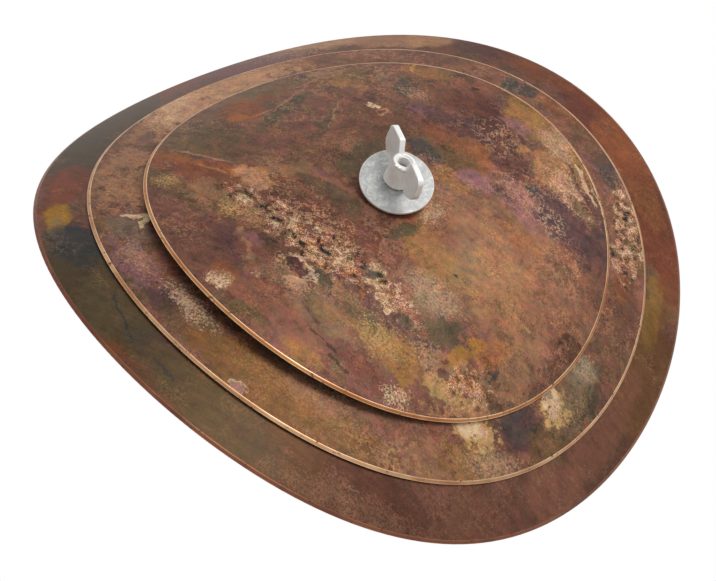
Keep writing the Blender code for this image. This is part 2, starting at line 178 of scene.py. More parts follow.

# Stains and crusts on each cymbal, in the order in which they are laid, first the
# stains of the heat and then the pale, pitted crusts. Each has its middle (x, y),
# half length, half width, turn in degrees, tone, amount, and how its edge frays.
# Lengths are in millimetres on the part's own axes. A few dark entries on the low
# cymbal's left and lower left are partly painted shadow, where the mid cymbal's rim shades it.
PATINA_AND_SHADE = {"underside": [
    (-90, 60, 60, 40, 30, "rose", 0.5, "soft"),
    (70, -90, 70, 30, 20, "olive", 0.6, "soft"),
    (110, 60, 30, 60, -20, "rust", 0.5, "ragged"),
    (-60, -110, 60, 24, -20, "moss", 0.6, "soft"),
    (-130, -30, 24, 50, 0, "brick", 0.6, "ragged"),
    (20, 120, 60, 24, -10, "tan", 0.4, "ragged"),
    (0, 0, 44, 44, 0, "wine", 0.5, "soft"),
    (50, 20, 26, 16, 30, "ochre", 0.45, "ragged"),
    (-50, 10, 34, 14, -30, "lilac", 0.5, "veined"),
    (90, -20, 24, 14, 10, "sage", 0.5, "ragged"),
    (-20, -60, 18, 12, 0, "peach", 0.45, "speckled"),
    (124, -40, 20, 14, 40, "tan", 0.5, "speckled"),
]}

PATINA_AND_SHADE["low"] = [
    (-128, 104, 40, 24, 50, "lilac", 0.7, "soft"),
    (-90, 146, 30, 14, 36, "peach", 0.8, "soft"),
    (-150, 66, 12, 38, -14, "rose", 0.8, "soft"),
    # Partly painted shadow: the next two dark moss stains lie on the low cymbal's left, where the
    # mid cymbal's rim shades it
    (-154, 10, 14, 40, 0, "moss", 0.85, "soft"),
    (-152, -36, 18, 30, 0, "moss", 0.9, "soft"),
    (-142, -66, 12, 16, 20, "brick", 0.8, "soft"),
    (-131, -97, 6, 15, 28, "gold", 1.0, "soft"),
    (-140, -84, 6, 16, 24, "brick", 0.9, "soft"),
    (-124, -104, 5, 12, 36, "sage", 0.5, "soft"),
    # Partly painted shadow: the next four dark stains lie along the low cymbal's lower left, where
    # the mid cymbal's rim shades it
    (-112, -113, 14, 20, 42, "blue", 1.0, "soft"),
    (-102, -128, 30, 20, -46, "moss", 1.0, "soft"),
    (-72, -146, 26, 16, -30, "olive", 0.9, "soft"),
    (-46, -154, 18, 10, -16, "slate", 0.7, "soft"),
    (-4, -162, 50, 20, 0, "olive", 0.9, "soft"),
    (-4, -162, 40, 14, 0, "bronze", 0.5, "ragged"),
    (-46, -168, 26, 4, -16, "brick", 0.6, "soft"),
    (34, -158, 34, 16, 10, "umber", 0.6, "soft"),
    (74, -150, 34, 16, 28, "mauve", 0.7, "soft"),
    (112, -124, 28, 18, 48, "rose", 0.5, "ragged"),
    (132, -94, 18, 18, 50, "mauve", 0.6, "soft"),
    (144, -70, 14, 26, -28, "rose", 0.5, "soft"),
    (156, -20, 18, 40, -5, "umber", 1.0, "soft"),
    (160, 20, 16, 34, 4, "bronze", 0.8, "soft"),
    (152, 68, 9, 18, 14, "ochre", 0.5, "soft"),
    (147, 54, 6, 24, 12, "yellow", 0.4, "soft"),
    (134, 106, 30, 24, -45, "brick", 0.95, "soft"),
    (118, 116, 18, 10, -45, "orange", 0.6, "soft"),
    (80, 146, 44, 16, -30, "brick", 1.0, "soft"),
    (84, 142, 16, 7, -30, "orange", 0.45, "soft"),
    (30, 166, 26, 9, -10, "rust", 0.8, "soft"),
    (-10, 168, 20, 8, 0, "plum", 0.6, "soft"),
    (-40, 163, 14, 9, 10, "amber", 0.5, "soft"),
    (-66, 152, 18, 8, 24, "mauve", 0.5, "soft"),
    (0, 0, 900, 900, 0, "ember", 0.34, "soft"),    # heated longest: darker all over
    # crusts
    (-131, -98, 5, 14, 28, "gold", 0.8, "soft"),
    (-142, -74, 6, 16, 20, "brick", 0.7, "soft"),
    (-126, -106, 4, 10, 36, "sage", 0.4, "soft"),
    # Partly painted shadow, where the mid cymbal's rim shades the low cymbal
    (-112, -113, 12, 18, 42, "blue", 0.7, "soft"),
    (140, -74, 12, 20, -28, "rose", 0.45, "soft"),
    (149, -24, 11, 38, -6, "rose", 0.45, "soft"),
    (-16, -164, 40, 14, -4, "moss", 0.45, "soft"),
    (60, -150, 30, 13, 20, "ember", 0.3, "soft"),
    (157, 46, 10, 18, 8, "ember", 0.25, "soft"),
    # Partly painted shadow, where the mid cymbal's rim shades the low cymbal
    (-77, -144, 20, 12, -30, "moss", 0.5, "soft"),
    (96, 136, 30, 14, -38, "rust", 0.6, "soft"),
    (148, 84, 10, 20, 20, "brick", 0.6, "soft"),
    (-60, 158, 40, 14, 22, "peach", 0.45, "soft"),
    (-110, 132, 34, 20, 42, "pale", 0.3, "speckled"),
    (60, -158, 40, 7, 18, "peach", 0.15, "speckled"),
    (-70, -146, 12, 1, -40, "blue", 0.7, "ragged"),
    (-40, -160, 10, 1, -20, "blue", 0.6, "ragged"),
    (120, 118, 20, 16, -45, "soot", 0.4, "speckled"),
    (60, 152, 30, 10, -24, "wine", 0.5, "speckled"),
]

PATINA_AND_SHADE["mid"] = [
    (-120, 70, 30, 50, -14, "peach", 0.75, "ragged"),
    (-128, 22, 14, 36, 5, "peach", 0.8, "ragged"),
    (-130, -8, 10, 16, 0, "tan", 0.8, "ragged"),
    (-127, -14, 5, 9, 0, "plum", 0.6, "soft"),
    (-126, -36, 8, 12, 10, "peach", 0.4, "ragged"),
    (-116, -58, 16, 22, 30, "tan", 0.8, "ragged"),
    (-96, -92, 16, 8, -48, "grey", 0.6, "ragged"),
    (-82, -112, 20, 9, -42, "lilac", 0.55, "ragged"),
    (-61, -127, 9, 7, -30, "plum", 0.8, "soft"),
    (-40, -134, 20, 9, -18, "olive", 0.6, "ragged"),
    (-8, -139, 34, 12, -4, "bronze", 0.9, "soft"),
    (0, -132, 10, 6, 0, "rust", 0.4, "speckled"),
    (44, -138, 36, 10, 16, "bronze", 0.8, "ragged"),
    (80, -118, 22, 12, 38, "tan", 0.5, "ragged"),
    (100, -100, 20, 14, 46, "ochre", 0.6, "ragged"),
    (110, -66, 9, 16, -26, "plum", 0.75, "soft"),
    (128, -52, 10, 18, -24, "olive", 0.6, "ragged"),
    (134, -24, 9, 22, -8, "moss", 0.7, "ragged"),
    (127, -12, 6, 9, 0, "grey", 0.8, "ragged"),
    (132, 30, 9, 30, 10, "umber", 0.7, "soft"),
    (124, 52, 6, 14, 16, "rust", 0.5, "soft"),
    (122, 82, 12, 22, 26, "olive", 0.6, "soft"),
    (114, 98, 9, 16, 34, "tan", 0.6, "ragged"),
    (94, 112, 14, 8, -42, "slate", 0.7, "soft"),
    (68, 130, 24, 8, -28, "umber", 0.6, "soft"),
    (48, 138, 20, 6, -14, "rust", 0.5, "soft"),
    (25, 139, 10, 7, 0, "slate", 0.9, "soft"),
    (0, 141, 14, 8, 0, "rose", 0.7, "ragged"),
    (-36, 138, 24, 9, 12, "mauve", 0.7, "ragged"),
    (-72, 122, 24, 10, 32, "rose", 0.6, "ragged"),
    (-98, 100, 14, 14, 40, "tan", 0.5, "ragged"),
    # crusts
    (-118, 70, 26, 40, 0, "peach", 0.5, "speckled"),
    (-130, 24, 9, 26, 5, "pale", 0.5, "speckled"),
    (-103, -48, 5, 3, 40, "soot", 0.7, "ragged"),
    (-122, -50, 6, 7, 0, "soot", 0.5, "speckled"),
    (-97, -80, 8, 1.2, 30, "pale", 0.9, "ragged"),
    (-93, -83, 1.2, 5, 10, "pale", 0.9, "ragged"),
    (-84, -108, 14, 7, -42, "peach", 0.4, "speckled"),
    (-50, -122, 16, 6, -20, "pale", 0.5, "speckled"),
    (-8, -148, 7, 3, 0, "pale", 0.7, "ragged"),
    (-8, -148, 5.6, 2.2, 0, "lilac", 0.9, "ragged"),
    (20, -132, 36, 8, 4, "straw", 0.2, "speckled"),
    (94, -86, 12, 8, 36, "straw", 1.0, "ragged"),
    (93, -85, 8, 5.4, 36, "pale", 0.8, "ragged"),
    (84, -80, 5, 3, 20, "blue", 0.6, "ragged"),
    (122, -41, 8, 9, 0, "straw", 1.0, "ragged"),
    (121, -40, 5, 6.5, 0, "pale", 0.75, "ragged"),
    (116, -38, 4, 3, 0, "slate", 0.6, "ragged"),
    (108, -92, 18, 7, 44, "pale", 0.35, "speckled"),
    (115, 88, 9, 20, 28, "marble", 1.0, "ragged"),
    (120, 64, 9, 14, 20, "marble", 0.8, "ragged"),
    (128, -11, 6, 7, 0, "pale", 0.6, "speckled"),
    (130, -30, 7, 16, -8, "sage", 0.7, "speckled"),
    (128, -14, 8, 14, -6, "sage", 0.5, "ragged"),
    (109, -66, 7, 9, -30, "slate", 0.6, "ragged"),
    (116, -58, 2, 3, 0, "blue", 0.5, "ragged"),
    (104, 112, 12, 6, -40, "peach", 0.7, "veined"),
    (-104, -60, 16, 24, 30, "peach", 0.6, "veined"),
    (60, -132, 44, 12, 22, "peach", 0.4, "veined"),
    (0, 141, 10, 6, 0, "peach", 0.6, "veined"),
    (-56, 128, 40, 10, 24, "peach", 0.5, "veined"),
]

PATINA_AND_SHADE["top"] = [
    # right front
    (82, 4, 40, 44, 0, "tan", 0.45, "soft"),
    (22, -4, 14, 12, 0, "rust", 0.5, "soft"),
    (46, 4, 34, 26, 0, "tan", 0.45, "soft"),
    (36, -24, 22, 13, -10, "ochre", 0.65, "ragged"),
    (36, -9, 10, 7, -10, "rose", 0.5, "ragged"),
    (52, -14, 9, 16, 0, "sage", 0.45, "ragged"),
    (42, -46, 17, 12, 0, "sage", 0.5, "ragged"),
    (18, -42, 15, 5, -28, "rose", 0.6, "ragged"),
    (16, -20, 12, 4, 62, "moss", 0.85, "ragged"),
    (78, -8, 24, 28, 0, "amber", 0.3, "ragged"),
    (98, -44, 12, 20, 8, "tan", 0.6, "ragged"),
    (96, -8, 16, 14, 0, "rose", 0.55, "ragged"),
    (116, -10, 6, 9, 0, "soot", 0.7, "ragged"),
    (116, -34, 5, 18, -14, "mauve", 0.5, "soft"),
    (58, -60, 12, 8, 20, "moss", 0.75, "ragged"),
    (38, -86, 22, 13, -14, "ochre", 0.6, "ragged"),
    (52, -86, 9, 13, 0, "gold", 0.3, "ragged"),
    (76, -80, 20, 16, 38, "tan", 0.9, "ragged"),
    (71, -60, 4, 14, -24, "gold", 0.6, "ragged"),
    (84, -48, 8, 12, -30, "orange", 0.4, "ragged"),
    (20, -100, 30, 10, -6, "mauve", 0.75, "soft"),
    (34, -104, 18, 5, -8, "maroon", 0.7, "soft"),
    (5, -92, 7, 5, 20, "ochre", 0.6, "soft"),
    (6, -118, 13, 5, 0, "ochre", 0.6, "soft"),
    # left front
    (-96, -12, 26, 15, 0, "olive", 0.6, "soft"),
    (-70, -8, 12, 18, 0, "mauve", 0.5, "soft"),
    (-92, -35, 28, 6, -3, "rust", 0.8, "soft"),
    (-98, -33, 12, 4, -5, "orange", 0.5, "soft"),
    (-88, -43, 26, 6, -2, "brick", 0.55, "soft"),
    (-62, -33, 11, 10, -20, "amber", 1.0, "ragged"),
    (-50, -12, 16, 10, 0, "tan", 0.35, "ragged"),
    (-26, -22, 18, 7, -12, "moss", 0.65, "soft"),
    (-46, -41, 8, 5, 0, "plum", 0.5, "ragged"),
    (-20, -48, 50, 22, -8, "maroon", 0.75, "ragged"),
    (-12, -74, 34, 9, -8, "wine", 0.6, "ragged"),
    (-70, -84, 44, 26, -34, "mauve", 0.8, "soft"),
    (-68, -70, 26, 7, -24, "mauve", 0.6, "ragged"),
    (-48, -80, 16, 9, -40, "plum", 0.45, "soft"),
    (-42, -72, 8, 4, 20, "lilac", 0.55, "ragged"),
    (-22, -88, 24, 9, -30, "rose", 0.5, "soft"),
    (-4, -92, 30, 8, -10, "sage", 0.4, "ragged"),
    (-20, -106, 30, 9, -8, "rose", 0.6, "soft"),
    (-24, -116, 14, 4, 6, "olive", 0.6, "soft"),
    (-42, -99, 7, 5, 0, "rust", 0.5, "soft"),
    (-90, -58, 34, 7, -10, "olive", 0.6, "ragged"),
    # left back
    (-92, 62, 16, 26, -24, "olive", 0.6, "soft"),
    (-100, 36, 12, 24, -10, "sage", 0.3, "soft"),
    (-95, 26, 10, 14, 0, "rust", 0.8, "soft"),
    (-92, 17, 5, 5, 0, "orange", 0.7, "soft"),
    (-90, 45, 6, 4, 0, "rust", 0.7, "soft"),
    (-106, 10, 10, 14, 0, "moss", 0.35, "soft"),
    (-75, 36, 5, 24, -8, "moss", 0.8, "soft"),
    (-62, 34, 8, 28, -6, "mauve", 0.65, "soft"),
    (-51, 36, 3, 20, 6, "moss", 0.7, "ragged"),
    (-60, 78, 10, 6, 20, "ochre", 0.7, "ragged"),
    (-48, 76, 8, 7, 0, "rose", 0.65, "soft"),
    (-42, 70, 4, 9, -10, "wine", 0.7, "ragged"),
    (-72, 88, 10, 8, 40, "peach", 0.35, "ragged"),
    (-84, 78, 4, 5, 0, "plum", 0.8, "soft"),
    (-55, 92, 14, 7, 30, "olive", 0.65, "ragged"),
    (-42, 105, 14, 7, 24, "rose", 0.4, "ragged"),
    (-20, 112, 13, 6, 8, "ochre", 0.55, "soft"),
    (-27, 92, 6, 9, 10, "slate", 0.75, "soft"),
    (-13, 98, 14, 8, 0, "umber", 0.7, "soft"),
    (-30, 44, 22, 22, 0, "umber", 0.6, "soft"),
    (-36, 18, 12, 12, 0, "tan", 0.35, "speckled"),
    (-24, 16, 9, 17, 0, "moss", 0.8, "soft"),
    (-10, 76, 8, 6, 0, "plum", 0.45, "ragged"),
    # right back
    (40, 106, 20, 13, -20, "ochre", 0.85, "soft"),
    (60, 100, 14, 11, -30, "tan", 0.8, "soft"),
    (82, 92, 16, 8, -42, "ochre", 0.6, "ragged"),
    (18, 106, 10, 9, 0, "plum", 0.6, "soft"),
    (4, 112, 14, 9, 0, "rose", 0.45, "ragged"),
    (14, 92, 20, 13, -20, "maroon", 0.95, "soft"),
    (27, 82, 18, 18, 20, "wine", 0.8, "ragged"),
    (36, 95, 9, 6, 0, "lilac", 0.7, "soft"),
    (45, 80, 2.4, 4, -20, "ochre", 0.6, "ragged"),
    (12, 62, 20, 12, 0, "rust", 0.5, "soft"),
    (8, 74, 22, 9, 0, "plum", 0.7, "ragged"),
    (30, 54, 7, 11, 0, "orange", 0.45, "soft"),
    (14, 46, 18, 8, 24, "olive", 0.7, "soft"),
    (2, 40, 11, 6, 0, "slate", 0.85, "soft"),
    (22, 32, 14, 7, 10, "ochre", 0.6, "soft"),
    (33, 39, 10, 7, 20, "lilac", 0.9, "soft"),
    (45, 64, 12, 10, -20, "wine", 0.8, "soft"),
    (62, 80, 10, 12, 0, "amber", 0.5, "soft"),
    (62, 44, 20, 11, -20, "lilac", 0.6, "soft"),
    (46, 42, 8, 3, -16, "wine", 0.6, "ragged"),
    (60, 57, 5, 5, 0, "slate", 0.95, "ragged"),
    (84, 50, 24, 12, -22, "plum", 0.9, "soft"),
    (106, 58, 8, 18, 22, "plum", 0.75, "soft"),
    (112, 28, 7, 20, 8, "mauve", 0.6, "soft"),
    (88, 22, 26, 16, 0, "rose", 0.55, "ragged"),
    (70, 22, 16, 7, 0, "orange", 0.3, "ragged"),
    # crusts
    # the long band of crust, front left to front right
    (-10, -52, 70, 26, -10, "peach", 0.6, "veined"),
    (-60, 88, 50, 26, 34, "peach", 0.5, "veined"),
    (-61, -33, 9, 7, -20, "peach", 0.55, "ragged"),
    (110, -8, 8, 18, 0, "maroon", 0.35, "soft"),
    (-98, -55, 7, 6, 0, "straw", 0.6, "speckled"),
    (-76, -54, 14, 9, 0, "tan", 0.6, "ragged"),
    (-62, -47, 12, 5, 10, "marble", 0.8, "ragged"),
    (-60, -58, 6, 7, 0, "straw", 0.55, "speckled"),
    (-52, -57, 13, 8, -8, "straw", 0.5, "speckled"),
    (-42, -53, 4, 3, 0, "wine", 0.9, "ragged"),
    (-48, -50, 2.5, 2, 0, "wine", 0.9, "ragged"),
    (-26, -42, 26, 10, -8, "peach", 0.7, "veined"),
    (-30, -55, 26, 10, -12, "marble", 0.85, "ragged"),
    (-4, -61, 24, 15, -14, "marble", 0.95, "ragged"),
    (22, -64, 24, 12, -14, "marble", 1.0, "ragged"),
    (14, -57, 5, 3, 0, "slate", 0.7, "ragged"),
    (41, -68, 3.5, 5, 30, "moss", 0.85, "ragged"),
    (24, -73, 22, 5, -4, "wine", 0.85, "ragged"),
    (16, -71, 2.5, 3.5, 0, "orange", 0.55, "speckled"),
    (30, -70, 2.4, 1.8, 0, "pale", 0.9, "ragged"),
    (12, -80, 22, 5, -4, "moss", 0.6, "ragged"),
    (4, -76, 16, 6, -6, "tan", 0.6, "speckled"),
    (-6, -76, 7, 5, 0, "moss", 0.95, "ragged"),
    (-17, -77, 11, 5.5, -14, "pale", 0.7, "ragged"),
    (-18, -77, 9.5, 4.6, -14, "wine", 1.0, "ragged"),
    (-26, -78, 2, 4.5, 10, "straw", 0.7, "speckled"),
    (-11, -88, 9, 4, 10, "peach", 0.9, "speckled"),
    (-14, -86, 6, 2.4, 10, "peach", 0.8, "ragged"),
    (-48, -69, 1.4, 1.5, 0, "straw", 0.6, "speckled"),
    (-37, -84, 16, 1.6, -52, "tan", 0.5, "ragged"),
    (-31, -93, 3.4, 2.2, -30, "peach", 0.7, "speckled"),
    (-43, -106, 5.4, 5, 0, "tan", 0.9, "ragged"),
    (-43, -106, 5, 5, 0, "pale", 0.9, "speckled"),
    # right front
    (34, -84, 12, 9, 0, "straw", 0.7, "speckled"),
    (54, -105, 8, 6, 20, "pale", 0.8, "speckled"),
    (76, -80, 17, 9, 38, "straw", 0.6, "ragged"),
    (80, -74, 12, 8, 38, "marble", 0.8, "ragged"),
    (52, -71, 6, 2, 10, "plum", 0.85, "ragged"),
    (56, -76, 8, 7, 0, "peach", 0.7, "speckled"),
    (68, -76, 3.2, 2.4, 0, "wine", 0.8, "ragged"),
    (64, -93, 4, 4, 0, "mauve", 0.8, "ragged"),
    (73, -91, 3, 2, 0, "mauve", 0.8, "ragged"),
    (81, -80, 2, 1.5, 0, "wine", 0.8, "ragged"),
    (62, -102, 3.5, 3.5, 0, "maroon", 0.8, "ragged"),
    (88, -60, 1.6, 5.5, -16, "slate", 0.9, "ragged"),
    (86, -66, 2, 1.4, 0, "sage", 0.8, "ragged"),
    (48, -25, 1.2, 1.2, 0, "soot", 0.9, "soft"),
    (44, -44, 14, 9, 0, "pale", 0.35, "speckled"),
    (15, -105, 10, 1.1, -8, "soot", 0.7, "ragged"),
    (24, -110, 7, 1.2, -4, "soot", 0.85, "ragged"),
    (4, -98, 10, 0.9, -24, "wine", 0.6, "ragged"),
    (24, 2, 6, 9, 0, "pale", 0.45, "speckled"),
    # back
    (60, 98, 14, 10, -30, "pale", 0.35, "speckled"),
    (75, 74, 13, 10, -20, "pale", 0.55, "speckled"),
    (80, 70, 13, 9, -20, "marble", 0.7, "ragged"),
    (70, 78, 14, 10, 0, "peach", 0.5, "speckled"),
    (88, 65, 9, 5, -20, "peach", 0.4, "speckled"),
    (86, 67, 5, 3, -30, "olive", 0.8, "ragged"),
    (86, 84, 15, 1.6, -42, "pale", 0.8, "ragged"),
    (93, 84, 12, 1.2, -46, "pale", 0.7, "ragged"),
    (84, 79, 19, 1.0, -40, "wine", 0.75, "soft"),
    (91, 88, 16, 0.8, -44, "wine", 0.6, "soft"),
    (32, 78, 20, 20, 0, "peach", 0.75, "veined"),
    (60, 48, 24, 14, -20, "peach", 0.7, "veined"),
    (78, 44, 14, 10, -20, "pale", 0.5, "veined"),
    (92, 22, 24, 18, 0, "peach", 0.5, "veined"),
    (-36, 62, 3.4, 2.4, 0, "pale", 0.9, "ragged"),
    (-28, 59, 3.6, 3.6, 0, "peach", 0.7, "soft"),
    (-28, 59, 2.5, 2.5, 0, "maroon", 0.9, "soft"),
    (-20, 88, 6, 5, 0, "peach", 0.7, "speckled"),
    (-46, 100, 16, 9, 24, "peach", 0.6, "veined"),
    (-14, 74, 12, 9, 0, "lilac", 0.7, "veined"),
    (-79, 44, 0.6, 24, -6, "peach", 0.4, "soft"),
    (-85, 26, 0.6, 8, -20, "peach", 0.4, "soft"),
    (-50, 44, 0.5, 18, 9, "peach", 0.4, "soft"),
    (-30, 113, 0.8, 7, 4, "straw", 0.5, "soft"),
    (-92, -27, 17, 0.7, -3, "peach", 0.5, "ragged"),
    (-82, -36, 8, 1.0, -10, "peach", 0.35, "ragged"),
    (6, 112, 2.6, 1.6, 0, "soot", 0.8, "ragged"),
]

# How each kind of edge frays: the grain and reach of the fray, the softness of
# the edge, and how much of the middle it leaves whole
FRAYS = {
    "soft": (16 * MM, 3.6, 0.85, 1.0),
    "ragged": (6 * MM, 7.0, 0.45, 1.0),
    "speckled": (1.2 * MM, 12.0, 1.0, 0.45),
    "veined": (6 * MM, 36.0, 1.0, 0.8),
}
# How thickly each face is mottled and salted
WEATHER = {"low": 0.5, "mid": 0.9, "top": 1.0, "underside": 0.6}
SEED = {"low": 1.0, "mid": 1.37, "top": 1.74, "underside": 3.1}    # keeps their patterns apart
CREEP = 2 * MM    # how far a stain creeps over a pale tone under it

# Fields of noise in the bronze: grain in millimetres, detail, roughness,
# distortion, and the stops of the colour ramp that it drives, if any. The ramps
# of the mottle, the wipes and the salt are neutral at half of full white, #bcbcbc.
FIELDS = {
    # brown oxide: broad clouds of one tone crossed by narrower veils of another
    "clouds": (60, 8.0, 0.62, 0.6, [
        (0.36, "wine"), (0.43, "mauve"), (0.485, "mauve"), (0.49, "umber"),
        (0.52, "rose"), (0.56, "rose"), (0.565, "mauve"), (0.70, "tan")]),
    "veils": (18, 10.0, 0.7, 1.2, [
        (0.36, "moss"), (0.42, "olive"), (0.46, "sage"), (0.465, "mauve"),
        (0.51, "maroon"), (0.54, "tan"), (0.545, "rose"), (0.68, "lilac")]),
    # marble: the thickest crust, islands of oxide 2 to 6 mm wide ringed by pale
    # lime, with dark pits, in shifting tones
    "marble": (5, 5.0, 0.62, 0.0, [
        (0.36, "#211f1c"), (0.42, "#3d302d"), (0.428, "#c29d80"), (0.442, "#8d6a55"),
        (0.455, "#4f2f2a"), (0.484, "#6b4038"), (0.492, "#ecd4ba"), (0.508, "#c79f83"),
        (0.518, "#5a322d"), (0.55, "#875244"), (0.558, "#f4e2d0"), (0.62, "#a98268")]),
    "shift": (8, 5.0, 0.6, 0.0, [
        (0.38, "#a9b39e"), (0.46, "#bdbab0"), (0.54, "#c6b8b2"), (0.62, "#d2b297")]),
    # where the filigree is, and where the salt lies thick
    "regions": (30, 6.0, 0.7, 0.0, []),
    "thick": (15, 6.0, 0.7, 0.0, []),
    # mottling at 1 to 9 mm, shifts of hue in it, and faint wipes
    "mottle": (9, 13.0, 0.84, 0.3, [
        (0.34, "#5d5e60"), (0.43, "#9d9c99"), (0.5, "#bababa"), (0.57, "#d0c8be"),
        (0.67, "#fbeedd")]),
    "hues": (7, 12.0, 0.8, 0.0, []),
    "wipes": (14, 5.0, 0.62, 0.0, [(0.34, "#a5a3a1"), (0.5, "#bcbcbc"), (0.66, "#d1ccc6")]),
    # salt: pale grains and dark pinholes under a millimetre, drawn at 1 mm so that
    # they show
    "salt": (1.0, 4.0, 0.75, 0.0, [
        (0.35, "#504d4b"), (0.44, "#a9a7a5"), (0.53, "#bcbcbc"), (0.59, "#dfd2c0"),
        (0.66, "#fff4e4")]),
}


def drift(tree, place, grain, detail, reach):
    """Push a place about by a colour noise, up to about its reach each way."""
    field = add(tree, "TexNoise", {"Vector": place, "Scale": 1 / grain, "Detail": detail,
                                   "Roughness": 0.6})
    centred = add(tree, "VectorMath", {0: field.outputs["Color"], 1: (0.5, 0.5, 0.5)},
                  operation="SUBTRACT")
    pushed = add(tree, "VectorMath", {0: centred.outputs[0], "Scale": 2 * reach},
                 operation="SCALE")
    return add(tree, "VectorMath", {0: place, 1: pushed.outputs[0]}, operation="ADD").outputs[0]


def lay_stain_and_shade(tree, under, place, frays, marble, patch):
    """Lay one patch over the colour under it: mostly stains and crusts, a few partly painted
    shadow.
    """
    x, y, length, width, turn, tone, amount, edge = patch
    grain, reach, softness, whole = FRAYS[edge]
    crept = add(tree, "VectorMath", {0: under, 1: (CREEP, CREEP, 0), 2: place},
                operation="MULTIPLY_ADD")
    local = add(tree, "Mapping", {
        "Vector": crept.outputs[0], "Location": (x * MM, y * MM, 0),
        "Rotation": (0, 0, math.radians(turn)),
        "Scale": (length * MM, width * MM, 1.0)}, vector_type="TEXTURE").outputs[0]
    far = add(tree, "VectorMath", {0: local, 1: local}, operation="DOT_PRODUCT")
    torn = add(tree, "Math", {0: frays[edge], 1: reach, 2: far.outputs["Value"]},
               operation="MULTIPLY_ADD")
    mask = add(tree, "MapRange", {
        "Value": torn.outputs[0], "From Min": whole + softness / 2,
        "From Max": whole - softness / 2, "To Max": amount}, interpolation_type="SMOOTHSTEP")
    laid = marble if tone == "marble" else linear(tone)
    return add(tree, "Mix", {0: mask.outputs[0], 6: under, 7: laid}, data_type="RGBA").outputs[2]


def aged_bronze(key):
    """Cast and rolled bronze, heated and pickled until its oxides mottle.

    Smooth brown oxide shines softly and keeps some metal; the pale crusts are
    matt and stand a little proud, and their pits are dark.
    """
    seed, weather = SEED[key], WEATHER[key]
    material, tree, shader, place = new_material("Aged bronze, " + key)
    moved = add(tree, "Mapping", {
        "Vector": place, "Location": (seed, seed * 0.7, seed * 0.3)}).outputs[0]
    wiped = add(tree, "Mapping", {"Vector": moved, "Rotation": (0, 0, math.radians(40)),
                                  "Scale": (1.0, 5.0, 1.0)}).outputs[0]
    # The stains wander: broad bends of their outlines, then frayed edges
    spot = drift(tree, place, 42 * MM, 3.0, 5 * MM)
    spot = drift(tree, spot, 11 * MM, 8.0, 5 * MM)

    noise, tinted = {}, {}
    for field, (grain, detail, roughness, distortion, stops) in FIELDS.items():
        noise[field] = add(tree, "TexNoise", {
            "Vector": wiped if field == "wipes" else moved, "Scale": 1 / (grain * MM),
            "Detail": detail, "Roughness": roughness, "Distortion": distortion})
        if stops:
            tinted[field] = add(tree, "ValToRGB", {0: noise[field].outputs["Fac"]},
                                stops).outputs[0]

    # Frays: fields that tear the stains' edges, centred on zero
    frays = {}
    for edge, (grain, reach, softness, whole) in FRAYS.items():
        field = add(tree, "TexNoise", {"Vector": moved, "Scale": 1 / grain, "Detail": 8.0,
                                       "Roughness": 0.7})
        centred = add(tree, "Math", {0: field.outputs["Fac"], 1: 0.5}, operation="SUBTRACT")
        if edge == "veined":
            centred = add(tree, "Math", {0: centred.outputs[0]}, operation="ABSOLUTE")
        frays[edge] = centred.outputs[0]

    colour = add(tree, "Mix", {0: 0.5, 6: tinted["clouds"], 7: tinted["veils"]},
                 data_type="RGBA").outputs[2]
    marble = add(tree, "Mix", {0: 1.0, 6: tinted["marble"], 7: tinted["shift"]},
                 data_type="RGBA", blend_type="OVERLAY").outputs[2]
    for patch in PATINA_AND_SHADE[key]:
        colour = lay_stain_and_shade(tree, colour, spot, frays, marble, patch)

    # Filigree: hair lines of pale salt that ring and vein the oxide in patches
    lines = add(tree, "MapRange", {"Value": frays["veined"], "From Min": 0.02, "From Max": 0.004},
                interpolation_type="SMOOTHSTEP")
    region = add(tree, "MapRange", {"Value": noise["regions"].outputs["Fac"], "From Min": 0.50,
                                    "From Max": 0.60, "To Max": 0.6 * weather})
    filigree = add(tree, "Math", {0: lines.outputs[0], 1: region.outputs[0]},
                   operation="MULTIPLY")
    salted = add(tree, "MapRange", {"Value": noise["thick"].outputs["Fac"], "From Min": 0.42,
                                    "From Max": 0.60, "To Min": 0.1, "To Max": 0.85 * weather})
    for amount, layer, blend in (
            (filigree.outputs[0], linear("peach"), "MIX"),
            (0.85 * weather, tinted["mottle"], "OVERLAY"),
            (0.45 * weather, noise["hues"].outputs["Color"], "OVERLAY"),
            (0.5, tinted["wipes"], "OVERLAY"),
            (salted.outputs[0], tinted["salt"], "OVERLAY")):
        colour = add(tree, "Mix", {0: amount, 6: colour, 7: layer},
                     data_type="RGBA", blend_type=blend).outputs[2]

    value = add(tree, "RGBToBW", {0: colour})
    dull = add(tree, "MapRange", {"Value": value.outputs[0], "From Min": 0.04, "From Max": 0.4,
                                  "To Min": 0.42, "To Max": 0.75})
    height = add(tree, "Math", {0: value.outputs[0], 1: 1.6, 2: noise["salt"].outputs["Fac"]},
                 operation="MULTIPLY_ADD")
    bump = add(tree, "Bump", {"Height": height.outputs[0], "Strength": 0.35,
                              "Distance": 0.12 * MM})
    set_shader(tree, shader, Base_Color=colour, Roughness=dull.outputs[0], Metallic=0.4,
               Specular_IOR_Level=0.12, Normal=bump.outputs[0])
    return material


def bare_edge(name, light, dark, nick):
    """Bronze turned bright at the rim, then handled: warm, with dark nicks. On the
    cymbals the rim's finish also paints a highlight line at the bevel's crest.
    """
    material, tree, shader, place = new_material(name)
    along = add(tree, "TexNoise", {"Vector": place, "Scale": 1 / (26 * MM), "Detail": 6.0,
                                   "Roughness": 0.6})
    tone = add(tree, "ValToRGB", {0: along.outputs["Fac"]}, [(0.36, dark), (0.62, light)])
    chips = add(tree, "TexNoise", {"Vector": place, "Scale": 1 / (3 * MM), "Detail": 4.0,
                                   "Roughness": 0.6})
    nicks = add(tree, "MapRange", {"Value": chips.outputs["Fac"], "From Min": 0.6,
                                   "From Max": 0.68})
    colour = add(tree, "Mix", {0: nicks.outputs[0], 6: tone.outputs[0], 7: linear(nick)},
                 data_type="RGBA")
    set_shader(tree, shader, Base_Color=colour.outputs[2], Roughness=0.38, Metallic=0.6)
    return material


